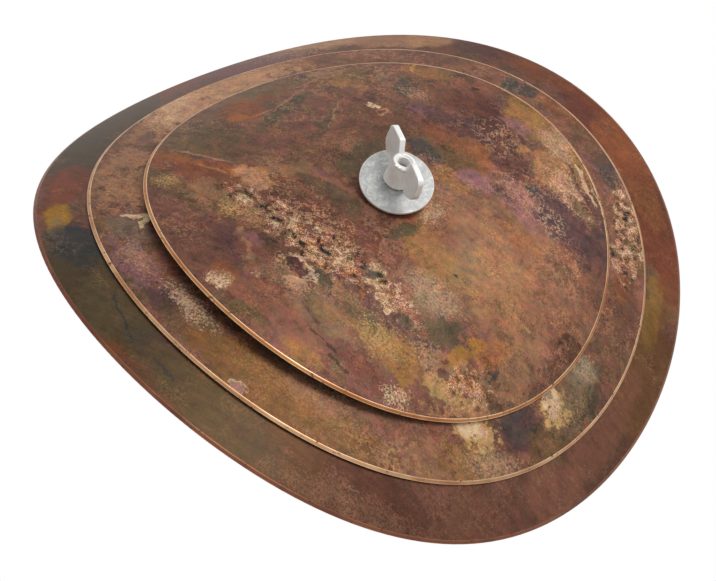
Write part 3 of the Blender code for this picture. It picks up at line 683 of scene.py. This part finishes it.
def zinc_plate(name, light, dark, shine, roughness, middle):
    """Steel under dull zinc: grey spangle clouds with pale specks and fine scuffs,
    and a painted highlight: a pale band on the rounded rim of a washer round its middle."""
    material, tree, shader, place = new_material(name)
    clouds = add(tree, "TexNoise", {"Vector": place, "Scale": 1 / (4 * MM), "Detail": 10.0,
                                    "Roughness": 0.78, "Distortion": 0.5})
    spangle = add(tree, "ValToRGB", {0: clouds.outputs["Fac"]},
                  [(0.40, dark), (0.53, light), (0.63, shine)])
    # Painted highlight: points 18.6 to 18.9 mm from the middle are paled for the light on a
    # washer's rounded rim; the clamped range pales every point farther out just as much
    away = add(tree, "VectorMath", {0: place, 1: middle}, operation="DISTANCE")
    rim = add(tree, "MapRange", {"Value": away.outputs["Value"], "From Min": 18.6 * MM,
                                 "From Max": 18.9 * MM, "To Max": 0.7})
    tone = add(tree, "Mix", {0: rim.outputs[0], 6: spangle.outputs[0], 7: linear("#f0e4dd")},
               data_type="RGBA")
    drawn = add(tree, "Mapping", {"Vector": place, "Scale": (1.0, 7.0, 1.0)})
    scuffs = add(tree, "TexNoise", {"Vector": drawn.outputs[0], "Scale": 1 / (1.2 * MM),
                                    "Detail": 4.0, "Roughness": 0.6})
    rough = add(tree, "MapRange", {"Value": scuffs.outputs["Fac"], "To Min": roughness - 0.1,
                                   "To Max": roughness + 0.12})
    bump = add(tree, "Bump", {"Height": clouds.outputs["Fac"], "Strength": 0.2,
                              "Distance": 0.05 * MM})
    set_shader(tree, shader, Base_Color=tone.outputs[2], Roughness=rough.outputs[0], Metallic=0.35,
               Normal=bump.outputs[0])
    return material


def cast_zinc(name):
    """Die cast zinc: a dull grey cast skin, with painted top light: faces that
    point up are mixed towards near white. Faintly pebbled all over."""
    material, tree, shader, place = new_material(name)
    pebble = add(tree, "TexNoise", {"Vector": place, "Scale": 1 / (1.1 * MM), "Detail": 5.0,
                                    "Roughness": 0.65})
    rubs = add(tree, "TexNoise", {"Vector": place, "Scale": 1 / (5 * MM), "Detail": 5.0,
                                  "Roughness": 0.6})
    skin = add(tree, "ValToRGB", {0: rubs.outputs["Fac"]}, [
        (0.34, "#ebe5de"), (0.5, "#f0efec"), (0.66, "#f6f4ef")])
    # Painted top light: the more a face points up, the more its skin is mixed towards near white
    facing = add(tree, "SeparateXYZ", {0: add(tree, "TexCoord").outputs["Normal"]})
    bright = add(tree, "MapRange", {"Value": facing.outputs["Z"], "From Min": 0.35,
                                    "From Max": 0.85})
    tone = add(tree, "Mix", {0: bright.outputs[0], 6: skin.outputs[0], 7: linear("#fbfaf8")},
               data_type="RGBA")
    bump = add(tree, "Bump", {"Height": pebble.outputs["Fac"], "Strength": 0.3,
                              "Distance": 0.06 * MM})
    set_shader(tree, shader, Base_Color=tone.outputs[2], Roughness=0.4, Metallic=0.35,
               Normal=bump.outputs[0])
    return material


def pressed_felt(name):
    """Pressed wool felt: matt grey, fibres of several greys crossing at random."""
    material, tree, shader, place = new_material(name)
    strands = add(tree, "Mapping", {"Vector": place, "Scale": (1.0, 1.0, 3.0)})
    fibres = add(tree, "TexNoise", {"Vector": strands.outputs[0], "Scale": 1 / (0.5 * MM),
                                    "Detail": 5.0, "Roughness": 0.75, "Distortion": 2.0})
    tone = add(tree, "ValToRGB", {0: fibres.outputs["Fac"]}, [
        (0.3, "#262526"), (0.5, "#474547"), (0.7, "#7b7878")])
    bump = add(tree, "Bump", {"Height": fibres.outputs["Fac"], "Strength": 0.7,
                              "Distance": 0.2 * MM})
    set_shader(tree, shader, Base_Color=tone.outputs[0], Roughness=0.95, Normal=bump.outputs[0],
               Sheen_Weight=0.4, Sheen_Roughness=0.6)
    return material


def moulded_nylon(name):
    """Black nylon tube, moulded: soft shine with faint drawing marks."""
    material, tree, shader, place = new_material(name)
    drawn = add(tree, "Mapping", {"Vector": place, "Scale": (1.0, 1.0, 0.1)})
    marks = add(tree, "TexNoise", {"Vector": drawn.outputs[0], "Scale": 1 / (0.6 * MM),
                                   "Detail": 3.0, "Roughness": 0.6})
    tone = add(tree, "ValToRGB", {0: marks.outputs["Fac"]}, [(0.35, "#141414"), (0.65, "#202020")])
    rough = add(tree, "MapRange", {"Value": marks.outputs["Fac"], "To Min": 0.38, "To Max": 0.55})
    set_shader(tree, shader, Base_Color=tone.outputs[0], Roughness=rough.outputs[0])
    return material


# Modelling

def deselect_all():
    bpy.ops.object.select_all(action="DESELECT")


def make_active(obj):
    deselect_all()
    obj.select_set(True)
    bpy.context.view_layer.objects.active = obj


def named(name):
    """Name the object that the last operator made."""
    obj = bpy.context.object
    obj.name = name
    obj.data.name = name
    return obj


def close_and_face_out(obj):
    """Merge doubles and turn every face outwards."""
    make_active(obj)
    bpy.ops.object.mode_set(mode="EDIT")
    bpy.ops.mesh.select_all(action="SELECT")
    bpy.ops.mesh.remove_doubles(threshold=TINY)
    bpy.ops.mesh.normals_make_consistent(inside=False)
    bpy.ops.object.mode_set(mode="OBJECT")


def settle(obj, angle=30):
    """Put a finished piece's place into its mesh and shade it smooth."""
    make_active(obj)
    bpy.ops.object.transform_apply(location=True, rotation=True, scale=True)
    bpy.ops.object.shade_smooth_by_angle(angle=math.radians(angle))


def apply_modifier(obj, name, kind, **settings):
    """Add a modifier with its settings and apply it."""
    make_active(obj)
    modifier = obj.modifiers.new(name, kind)
    for key, value in settings.items():
        setattr(modifier, key, value)
    bpy.ops.object.modifier_apply(modifier=modifier.name)


def cut(obj, tool, operation="DIFFERENCE"):
    """Apply an exact Boolean with a tool, close its seam and clear the tool away."""
    apply_modifier(obj, "Cut", "BOOLEAN", operation=operation, solver="EXACT", object=tool)
    close_and_face_out(obj)
    bpy.data.objects.remove(tool, do_unlink=True)


def draw_chain(name, points, closed=False):
    """Draw a chain of edges through points, from one vertex."""
    deselect_all()
    bpy.ops.mesh.primitive_plane_add(size=MM, location=points[0])
    obj = named(name)
    bpy.ops.object.transform_apply(location=True)
    bpy.ops.object.mode_set(mode="EDIT")
    bpy.ops.mesh.select_mode(type="VERT")
    bpy.ops.mesh.select_all(action="SELECT")
    bpy.ops.mesh.merge(type="CENTER")
    for before, after in zip(points, points[1:]):
        step = Vector(after) - Vector(before)
        bpy.ops.mesh.extrude_region_move(TRANSFORM_OT_translate={"value": step})
    bpy.ops.mesh.select_all(action="SELECT")
    if closed:
        bpy.ops.mesh.edge_face_add()
    bpy.ops.object.mode_set(mode="OBJECT")
    return obj


def turn_section(name, section, segments, share_shift=0.0, shift_from=0.0, shift_to=1.0):
    """Turn a closed section of (radius, height) points, ring by ring.

    The rings past shift_from move along X by their share of share_shift.
    """
    def shift(radius):
        return share_shift * (radius - shift_from) / (shift_to - shift_from)

    deselect_all()
    first_radius, first_height = section[0]
    bpy.ops.mesh.primitive_circle_add(vertices=segments, radius=first_radius,
                                      location=(shift(first_radius), 0, first_height))
    obj = named(name)
    bpy.ops.object.transform_apply(location=True)
    bpy.ops.object.mode_set(mode="EDIT")
    bpy.ops.mesh.select_mode(type="EDGE")
    bpy.ops.mesh.select_all(action="SELECT")
    loop = section + section[:1]
    for (radius, height), (next_radius, next_height) in zip(loop, loop[1:]):
        scale = next_radius / radius
        bpy.ops.mesh.extrude_region_move()
        middle, next_middle = shift(radius), shift(next_radius)
        bpy.ops.transform.resize(value=(scale, scale, 1), center_override=(middle, 0, height))
        bpy.ops.transform.translate(value=(next_middle - middle, 0, next_height - height))
    bpy.ops.object.mode_set(mode="OBJECT")
    close_and_face_out(obj)
    return obj


def rounded_ring_section(inner, outer, bottom, top, edge):
    """Section of a ring whose four corners are rounded."""
    corners = [(inner + edge, bottom + edge, 180), (outer - edge, bottom + edge, 270),
               (outer - edge, top - edge, 0), (inner + edge, top - edge, 90)]
    section = []
    for r, z, start in corners:
        for step in range(CORNER_STEPS + 1):
            angle = math.radians(start + 90 * step / CORNER_STEPS)
            section.append((r + edge * math.cos(angle), z + edge * math.sin(angle)))
    return section


def thread_solid(name, root, crest, bottom, top, pitch):
    """A screw's solid: one tooth swept up a helix and cut square at both ends."""
    start = bottom - 2 * pitch
    heights = (0.0, THREAD_FLAT, 0.5 - THREAD_FLAT / 2, 0.5 + THREAD_FLAT / 2,
               1.0 - THREAD_FLAT, 1.0)
    radii = (root, root, crest, crest, root, root)
    obj = draw_chain(name, [(r, 0, start + h * pitch) for r, h in zip(radii, heights)])
    turns = math.ceil((top - bottom) / pitch) + 3
    apply_modifier(obj, "Helix", "SCREW", axis="Z", screw_offset=pitch, iterations=turns,
                   steps=THREAD_RING, render_steps=THREAD_RING, use_merge_vertices=True,
                   merge_threshold=TINY, use_normal_calculate=True)
    bpy.ops.object.mode_set(mode="EDIT")
    for height, outer in ((bottom, False), (top, True)):
        bpy.ops.mesh.select_all(action="SELECT")
        bpy.ops.mesh.bisect(plane_co=(0, 0, height), plane_no=(0, 0, 1), use_fill=True,
                            clear_inner=not outer, clear_outer=outer, threshold=TINY)
    bpy.ops.object.mode_set(mode="OBJECT")
    close_and_face_out(obj)
    return obj


def tap(name, bottom, top, sizes):
    """A solid that cuts a threaded hole from bottom to top."""
    return thread_solid(name, sizes.thread_root + sizes.thread_play,
                        sizes.thread_crest + sizes.thread_play, bottom, top,
                        sizes.thread_pitch)


def hex_bar(name, flats, bottom, top):
    """Hexagonal bar with its corners turned off at both ends."""
    deselect_all()
    corner = flats / math.sqrt(3)
    bpy.ops.mesh.primitive_cylinder_add(vertices=6, radius=corner, depth=top - bottom,
                                        location=(0, 0, (top + bottom) / 2))
    obj = named(name)
    bpy.ops.object.transform_apply(location=True)
    face = flats / 2 - HEX_EDGE
    wide = corner + HEX_EDGE
    drop = (wide - flats / 2) * HEX_SLOPE
    # The cones run on past both ends, so that no end face lies in another
    past = 2 * face - wide
    section = [(HEX_CORE, bottom - drop), (past, bottom - drop), (wide, bottom + drop),
               (wide, top - drop), (past, top + drop), (HEX_CORE, top + drop)]
    blank = turn_section(name + "_turning", section, SMALL_RING)
    make_active(blank)
    bpy.ops.object.mode_set(mode="EDIT")
    bpy.ops.mesh.select_all(action="DESELECT")
    turning = bmesh.from_edit_mesh(blank.data)
    for side in turning.faces:
        if side.calc_center_median().xy.length < 1.1 * HEX_CORE:
            side.select_set(True)
    bpy.ops.mesh.delete(type="FACE")
    bpy.ops.mesh.select_all(action="SELECT")
    bpy.ops.mesh.fill_holes(sides=0)
    bpy.ops.mesh.normals_make_consistent(inside=False)
    bpy.ops.object.mode_set(mode="OBJECT")
    cut(obj, blank, "INTERSECT")
    return obj


def dress(obj, body, material, node):
    """Give a piece its finish, the body it rides on and the node it stands for."""
    if material:
        obj.data.materials.clear()
        obj.data.materials.append(material)
    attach(obj, body)
    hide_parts(node)


# Settings

class StackSizes(bpy.types.PropertyGroup):
    """Sizes that a user would change."""
    gauge: bpy.props.FloatProperty(
        name="Gauge", description="Thickness of the cymbals", default=1.0 * MM, unit="LENGTH")
    hole_radius: bpy.props.FloatProperty(
        name="Hole radius", description="Radius of the cymbals' holes",
        default=6.5 * MM, unit="LENGTH")
    bevel_width: bpy.props.FloatProperty(
        name="Rim bevel width", description="Width of the bevel round each rim",
        default=1.4 * MM, unit="LENGTH")
    bevel_drop: bpy.props.FloatProperty(
        name="Rim bevel drop", description="Drop of the bevel at the rim",
        default=0.45 * MM, unit="LENGTH")
    washer_radius: bpy.props.FloatProperty(
        name="Washer radius", description="Radius of the clamp washer and the seat washer",
        default=19.05 * MM, unit="LENGTH")
    washer_hole: bpy.props.FloatProperty(
        name="Washer hole", description="Radius of the clamp washer's hole",
        default=6.0 * MM, unit="LENGTH")
    washer_gauge: bpy.props.FloatProperty(
        name="Washer gauge", description="Thickness of both washers",
        default=1.5 * MM, unit="LENGTH")
    thread_root: bpy.props.FloatProperty(
        name="Thread root", description="Root radius of the M8 stud",
        default=3.2 * MM, unit="LENGTH")
    thread_crest: bpy.props.FloatProperty(
        name="Thread crest", description="Crest radius of the M8 stud",
        default=3.95 * MM, unit="LENGTH")
    thread_pitch: bpy.props.FloatProperty(
        name="Thread pitch", description="Pitch of the M8 thread",
        default=1.25 * MM, unit="LENGTH")
    thread_play: bpy.props.FloatProperty(
        name="Thread play", description="Radial play of a threaded hole",
        default=0.14 * MM, unit="LENGTH")
    wing_thickness: bpy.props.FloatProperty(
        name="Wing thickness", description="Thickness of the wing nut's wings",
        default=3.2 * MM, unit="LENGTH")


class StackColours(bpy.types.PropertyGroup):
    """Colours that a user would change."""
    backdrop: bpy.props.FloatVectorProperty(
        name="Backdrop", description="Colour behind the object", size=4, subtype="COLOR",
        default=(1.0, 1.0, 1.0, 1.0))
    key_light: bpy.props.FloatVectorProperty(
        name="Key light", description="Colour of the soft lamp at the upper right", size=3,
        subtype="COLOR", default=(1.0, 0.985, 0.96))


# Pieces

def flat_plate_section(radius, sizes):
    """Section of a flat cymbal: both faces, the bevel and the rounded edge."""
    hole, gauge, drop = sizes.hole_radius, sizes.gauge, sizes.bevel_drop
    crest = radius - sizes.bevel_width
    # A thin ring just inside the bevel's crest is given the rim's pale finish in make_cymbal, as a
    # painted highlight line
    highlight_start = crest - CREST_HIGHLIGHT
    count = round((highlight_start - hole) / PLATE_STEP)
    radii = [hole + (highlight_start - hole) * i / count for i in range(count + 1)]
    upper = [(r, 0.0) for r in radii] + [(crest, 0.0)]
    edge = [(radius - 0.25 * MM, -drop + 0.05 * MM), (radius - 0.04 * MM, -drop - 0.08 * MM),
            (radius, -0.7 * gauge), (radius - 0.05 * MM, -0.93 * gauge),
            (radius - 0.2 * MM, -gauge)]
    return upper + edge + [(r, -gauge) for r in reversed(radii)]


def bend_axis(name, rotation):
    """An empty that turns a bend modifier's own axes to the plate's."""
    deselect_all()
    bpy.ops.object.empty_add(location=(0, 0, 0), rotation=rotation)
    empty = bpy.context.object
    empty.name = name
    return empty


def make_cymbal(key, finishes, sizes):
    """Turn a flat plate, bend it over the ridge and set it on the stud's axis."""
    radius, bend, bow, offset, crown = CYMBALS[key]
    crest = radius - sizes.bevel_width
    obj = turn_section(key + "_plate", flat_plate_section(radius, sizes), PLATE_RING,
                       offset, sizes.hole_radius, radius)
    face, edge, bevel, underside = range(4)    # the order of the finishes
    for material in finishes:
        obj.data.materials.append(material)
    for polygon in obj.data.polygons:
        x, y, z = polygon.center
        share = (math.hypot(x, y) - sizes.hole_radius) / (radius - sizes.hole_radius)
        reach = math.hypot(x - offset * share, y)
        if polygon.normal.z < FACING_DOWN:
            polygon.material_index = underside
        # The cut edge's faces take the rim's finish as bare bronze; the thin ring inside the
        # bevel's crest takes it as a painted highlight line
        elif z < -sizes.bevel_drop or crest > reach > crest - CREST_HIGHLIGHT:
            polygon.material_index = edge
        elif reach > crest:
            polygon.material_index = bevel
    half_turn = math.radians(90)
    over_ridge = bend_axis("ridge axis", (half_turn, 0, 0))
    along_ridge = bend_axis("bow axis", (half_turn, 0, half_turn))
    for name, axis, bend_radius in (("Ridge", over_ridge, bend), ("Bow", along_ridge, bow)):
        apply_modifier(obj, name, "SIMPLE_DEFORM", deform_method="BEND", deform_axis="Z",
                       origin=axis, angle=-2 * radius / bend_radius)
        bpy.data.objects.remove(axis, do_unlink=True)
    obj.rotation_euler.z = math.radians(RIDGE_HEADING - 90)
    obj.location.z = crown
    settle(obj)
    dress(obj, "cymbals", None, key + "_cymbal")


class STACK_OT_cymbals(bpy.types.Operator):
    """Three bent cymbals with their rims and finishes"""
    bl_idname = "stack.cymbals"
    bl_label = "Bent Cymbals"

    def execute(self, context):
        underside = aged_bronze("underside")
        for key, edge, bevel in (    # light, dark and nicks
                ("low", ("#96603f", "#70412e", "#4a2c20"), ("#7f4d37", "#613727", "#4a2c20")),
                ("mid", ("#e2c29c", "#c08f66", "#5b3a28"), ("#c99a70", "#9a6a48", "#5b3a28")),
                ("top", ("#ecd2a8", "#c79464", "#6a4636"), ("#bb7a45", "#95572f", "#5a382a"))):
            finishes = (aged_bronze(key), bare_edge("Rim, " + key, *edge),
                        bare_edge("Bevel, " + key, *bevel), underside)
            make_cymbal(key, finishes, context.scene.stack_sizes)
        return {"FINISHED"}


class STACK_OT_clamp_washer(bpy.types.Operator):
    """The wide washer, tipped on the stud"""
    bl_idname = "stack.clamp_washer"
    bl_label = "Clamp Washer"

    def execute(self, context):
        sizes = context.scene.stack_sizes
        half = sizes.washer_gauge / 2
        section = rounded_ring_section(sizes.washer_hole, sizes.washer_radius, -half, half,
                                       WASHER_EDGE)
        washer = turn_section("tipped_washer", section, WASHER_RING)
        washer.location = WASHER_PLACE
        washer.rotation_euler.x = math.radians(WASHER_TILT)
        settle(washer)
        zinc = zinc_plate("Galvanised steel", "#cccdcb", "#b4b7b7", "#e9e9e4", 0.6,
                          WASHER_PLACE)
        dress(washer, "washer", zinc, "clamp_washer")
        return {"FINISHED"}


def wing_blank(name, heading, sizes):
    """One wing: its outline filled, its corners rounded, then given thickness."""
    half = sizes.wing_thickness / 2
    points = [(x * MM, -half, z * MM) for x, z, _ in WING_CORNERS]
    obj = draw_chain(name, points, closed=True)
    bpy.ops.object.mode_set(mode="EDIT")
    bpy.ops.mesh.select_mode(type="VERT")
    for x, z, fillet in WING_CORNERS:
        if not fillet:
            continue
        outline = bmesh.from_edit_mesh(obj.data)
        for vert in outline.verts:
            vert.select_set((vert.co.xz - Vector((x, z)) * MM).length < 10 * TINY)
        outline.select_flush(True)
        bpy.ops.mesh.bevel(affect="VERTICES", offset=fillet * FILLET_SHARE * MM, segments=6,
                           profile=0.5)
    bpy.ops.mesh.select_all(action="SELECT")
    bpy.ops.mesh.extrude_region_move(TRANSFORM_OT_translate={"value": (0, 2 * half, 0)})
    bpy.ops.mesh.select_all(action="SELECT")
    bpy.ops.mesh.normals_make_consistent(inside=False)
    bpy.ops.object.mode_set(mode="OBJECT")
    obj.location.z = NUT_TOP
    obj.rotation_euler.z = math.radians(heading)
    make_active(obj)
    bpy.ops.object.transform_apply(location=True, rotation=True, scale=True)
    return obj


class STACK_OT_wing_nut(bpy.types.Operator):
    """Cast wing nut with a cut thread"""
    bl_idname = "stack.wing_nut"
    bl_label = "Wing Nut"

    def execute(self, context):
        sizes = context.scene.stack_sizes
        deselect_all()
        bpy.ops.mesh.primitive_cone_add(
            vertices=SMALL_RING, radius1=HUB_RADIUS_BELOW, radius2=HUB_RADIUS_ABOVE,
            depth=NUT_TOP - NUT_BOTTOM, location=(0, 0, (NUT_TOP + NUT_BOTTOM) / 2))
        nut = named("winged_nut")
        bpy.ops.object.transform_apply(location=True)
        for index, heading in enumerate((WING_HEADING, WING_HEADING + 180)):
            cut(nut, wing_blank("wing_%d" % (index + 1), heading, sizes), "UNION")
        for heading, size in FLASH:
            deselect_all()
            turn = math.radians(heading)
            place = (FLASH_REACH * math.cos(turn), FLASH_REACH * math.sin(turn),
                     NUT_TOP - FLASH_DEPTH)
            bpy.ops.mesh.primitive_ico_sphere_add(subdivisions=3, radius=size * MM,
                                                  location=place)
            cut(nut, named("flash"), "UNION")
        apply_modifier(nut, "Cast skin", "REMESH", mode="VOXEL", voxel_size=CAST_GRAIN,
                       adaptivity=0.0)
        apply_modifier(nut, "Fillets", "SMOOTH", factor=0.5, iterations=14)
        deselect_all()
        bpy.ops.mesh.primitive_cone_add(
            vertices=SMALL_RING, radius1=COUNTERSINK_RADIUS,
            radius2=COUNTERSINK_RADIUS + COUNTERSINK_DEPTH, depth=COUNTERSINK_DEPTH,
            location=(0, 0, NUT_TOP - COUNTERSINK_DROP))
        cut(nut, named("countersink"))
        cut(nut, tap("wing_nut_tap", NUT_BOTTOM - RUN_OUT, NUT_TOP + RUN_OUT, sizes))
        settle(nut, angle=40)
        dress(nut, "nut", cast_zinc("Cast zinc"), "wing_nut")
        return {"FINISHED"}


class STACK_OT_stand_side(bpy.types.Operator):
    """Stud, adapter, jam nut, seat washer and sleeve"""
    bl_idname = "stack.stand_side"
    bl_label = "Stand Side"

    def execute(self, context):
        sizes = context.scene.stack_sizes
        zinc = zinc_plate("Zinc plated steel", "#a3a4a4", "#868888", "#c6c7c6", 0.4, (0, 0, 0))

        stud = thread_solid("threaded_stud", sizes.thread_root, sizes.thread_crest,
                            STUD_BOTTOM, STUD_TOP, sizes.thread_pitch)

        adapter = hex_bar("adapter_body", ADAPTER_FLATS, 0.0, ADAPTER_HEX_TOP)
        collar = rounded_ring_section(COLLAR_BORE, COLLAR_RADIUS, ADAPTER_HEX_TOP - SUNK,
                                      ADAPTER_TOP, COLLAR_EDGE)
        cut(adapter, turn_section("collar", collar, SMALL_RING), "UNION")
        cut(adapter, tap("stand_tap", -RUN_OUT, SOCKET_DEPTH, sizes))
        cut(adapter, tap("stud_tap", STUD_BOTTOM - UNDER_STUD, ADAPTER_TOP + RUN_OUT, sizes))

        jam_nut = hex_bar("lock_nut", JAM_FLATS, JAM_BOTTOM, JAM_TOP)
        cut(jam_nut, tap("lock_nut_tap", JAM_BOTTOM - RUN_OUT, JAM_TOP + RUN_OUT, sizes))

        seat = turn_section("lower_washer", rounded_ring_section(
            SEAT_BORE, sizes.washer_radius, SEAT_BOTTOM, SEAT_TOP, WASHER_EDGE), WASHER_RING)

        sleeve = turn_section("nylon_sleeve", rounded_ring_section(
            SLEEVE_BORE, SLEEVE_RADIUS, SLEEVE_BOTTOM, SLEEVE_TOP, SLEEVE_EDGE), SMALL_RING)

        for piece, slot, material, node in (
                (stud, "zinc_steel", zinc, "stud"),
                (adapter, "zinc_steel", zinc, "stand_adapter"),
                (jam_nut, "zinc_steel", zinc, "jam_nut"),
                (seat, "zinc_steel", zinc, "seat_washer"),
                (sleeve, "black_nylon", moulded_nylon("Black nylon"), "sleeve")):
            settle(piece)
            dress(piece, "stand", material, node)
        return {"FINISHED"}


class STACK_OT_felts(bpy.types.Operator):
    """Two felt washers, below and above the cymbals"""
    bl_idname = "stack.felts"
    bl_label = "Felts"

    def execute(self, context):
        # The cymbals turn over the felts, so each felt's face keeps clear of them at
        # every heading: the lower one falls away with the bend, the upper one is flat.
        width = LOWER_FELT_RADIUS - FELT_BORE
        radii = [FELT_BORE + width * step / FELT_STEPS for step in range(FELT_STEPS, -1, -1)]
        low_bend = CYMBALS["low"][1]
        face = [(r, LOWER_FELT_TOP - r * r / (2 * low_bend)) for r in radii]
        below = turn_section("felt_below", [
            (FELT_BORE, SLEEVE_BOTTOM), (LOWER_FELT_RADIUS, SLEEVE_BOTTOM)] + face, SMALL_RING)
        above = turn_section("felt_above", [
            (FELT_BORE, UPPER_FELT_BOTTOM), (UPPER_FELT_RADIUS, UPPER_FELT_BOTTOM),
            (UPPER_FELT_RADIUS, NUT_TOP), (FELT_BORE, NUT_TOP)], SMALL_RING)

        # The upper one is cut off square to the washer, with room for the rock
        lean = math.radians(WASHER_TILT)
        square = Vector((0, -math.sin(lean), math.cos(lean)))
        gauge = context.scene.stack_sizes.washer_gauge
        under_washer = Vector(WASHER_PLACE) - square * gauge / 2 - Vector((0, 0, FELT_ROOM))
        bpy.ops.object.mode_set(mode="EDIT")
        bpy.ops.mesh.select_all(action="SELECT")
        bpy.ops.mesh.bisect(plane_co=under_washer, plane_no=square, use_fill=True,
                            clear_outer=True)
        bpy.ops.object.mode_set(mode="OBJECT")

        felt = pressed_felt("Grey felt")
        fuzz = bpy.data.textures.new("felt fuzz", "CLOUDS")
        fuzz.noise_scale = FUZZ_GRAIN
        fuzz.noise_depth = 2
        for piece, node, start, end in (
                (below, "lower_felt", SLEEVE_BOTTOM, LOWER_FELT_TOP),
                (above, "upper_felt", UPPER_FELT_HIGHEST, UPPER_FELT_BOTTOM + UPPER_FELT_FOOT)):
            close_and_face_out(piece)
            apply_modifier(piece, "Soft edges", "REMESH", mode="VOXEL", voxel_size=FELT_GRAIN)
            apply_modifier(piece, "Press", "SMOOTH", factor=0.5, iterations=6)
            apply_modifier(piece, "Fuzz", "DISPLACE", texture=fuzz, strength=FUZZ,
                           mid_level=0.5)
            settle(piece, angle=60)
            piece.data.materials.clear()
            piece.data.materials.append(felt)
            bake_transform(piece)
            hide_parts(node)
        return {"FINISHED"}


# Stage

CAMERA_HEADING, CAMERA_ELEVATION, CAMERA_ROLL = -81.947, 45.254, 22.16
CAMERA_PLACE = (82.7 * MM, -564.7 * MM, 547.3 * MM)
LENS = 76.04
FILL = 0.4    # strength of the surroundings as a light
AIM = (0, 0, 20 * MM)    # where the lamps point
# Lamps: name, way to them (right, up and back in the camera's view), size, power
LAMPS = (("Key", (0.75, 0.85, 0.55), 0.5, 4.2), ("Side", (-0.9, -0.3, 0.7), 0.8, 0.6))


class STACK_OT_stage(bpy.types.Operator):
    """Camera, lamps and white surroundings"""
    bl_idname = "stack.stage"
    bl_label = "Stage"

    def execute(self, context):
        scene = context.scene
        colours = scene.stack_colours
        heading, elevation = math.radians(CAMERA_HEADING), math.radians(CAMERA_ELEVATION)
        camera_data = bpy.data.cameras.new("Camera")
        camera_data.lens = LENS
        camera = bpy.data.objects.new("Camera", camera_data)
        scene.collection.objects.link(camera)
        upright = (Matrix.Rotation(heading + math.radians(90), 4, "Z")
                   @ Matrix.Rotation(math.radians(90) - elevation, 4, "X"))
        camera.matrix_world = (Matrix.Translation(CAMERA_PLACE) @ upright
                               @ Matrix.Rotation(math.radians(CAMERA_ROLL), 4, "Z"))
        scene.camera = camera
        scene.view_settings.view_transform = "Standard"

        world = bpy.data.worlds.new("Surroundings")
        scene.world = world
        world.use_nodes = True
        tree = world.node_tree
        tree.nodes.clear()
        path = add(tree, "LightPath")
        seen = add(tree, "Math", {0: path.outputs["Is Camera Ray"],
                                  1: path.outputs["Is Glossy Ray"]}, operation="MAXIMUM")
        shown = add(tree, "Math", {0: seen.outputs[0], 1: path.outputs["Is Transmission Ray"]},
                    operation="MAXIMUM")
        strength = add(tree, "Math", {0: shown.outputs[0], 1: 1.0 - FILL, 2: FILL},
                       operation="MULTIPLY_ADD")
        sky = add(tree, "Background", {"Color": colours.backdrop, "Strength": strength.outputs[0]})
        add(tree, "OutputWorld", {"Surface": sky.outputs[0]})

        view = camera.matrix_world.to_3x3()
        aim = Vector(AIM)
        for name, way, size, power in LAMPS:
            lamp_data = bpy.data.lights.new(name, "AREA")
            lamp_data.size = size
            lamp_data.energy = power
            lamp_data.color = colours.key_light
            lamp = bpy.data.objects.new(name, lamp_data)
            scene.collection.objects.link(lamp)
            lamp.location = aim + (view @ Vector(way)).normalized()
            lamp.rotation_euler = (aim - lamp.location).to_track_quat("-Z", "Y").to_euler()
        return {"FINISHED"}


class STACK_PT_panel(bpy.types.Panel):
    """Buttons and settings of the cymbal stack"""
    bl_idname = "STACK_PT_panel"
    bl_label = "Cymbal Stack"
    bl_space_type = "VIEW_3D"
    bl_region_type = "UI"
    bl_category = "Cymbal Stack"

    def draw(self, context):
        layout = self.layout
        for group in (context.scene.stack_sizes, context.scene.stack_colours):
            for name in group.__annotations__:
                layout.prop(group, name)
        for operator in OPERATORS:
            layout.operator(operator.bl_idname)


OPERATORS = (STACK_OT_cymbals, STACK_OT_clamp_washer, STACK_OT_wing_nut, STACK_OT_stand_side,
             STACK_OT_felts, STACK_OT_stage)
CLASSES = (StackSizes, StackColours) + OPERATORS + (STACK_PT_panel,)


def register():
    for item in CLASSES:
        bpy.utils.register_class(item)
    bpy.types.Scene.stack_sizes = bpy.props.PointerProperty(type=StackSizes)
    bpy.types.Scene.stack_colours = bpy.props.PointerProperty(type=StackColours)


def unregister():
    del bpy.types.Scene.stack_colours
    del bpy.types.Scene.stack_sizes
    for item in reversed(CLASSES):
        bpy.utils.unregister_class(item)


def main():
    """Build every piece, then the stage."""
    register()
    bpy.ops.stack.cymbals()
    bpy.ops.stack.clamp_washer()
    bpy.ops.stack.wing_nut()
    bpy.ops.stack.stand_side()
    bpy.ops.stack.felts()
    bpy.ops.stack.stage()


if __name__ == "__main__":
    main()
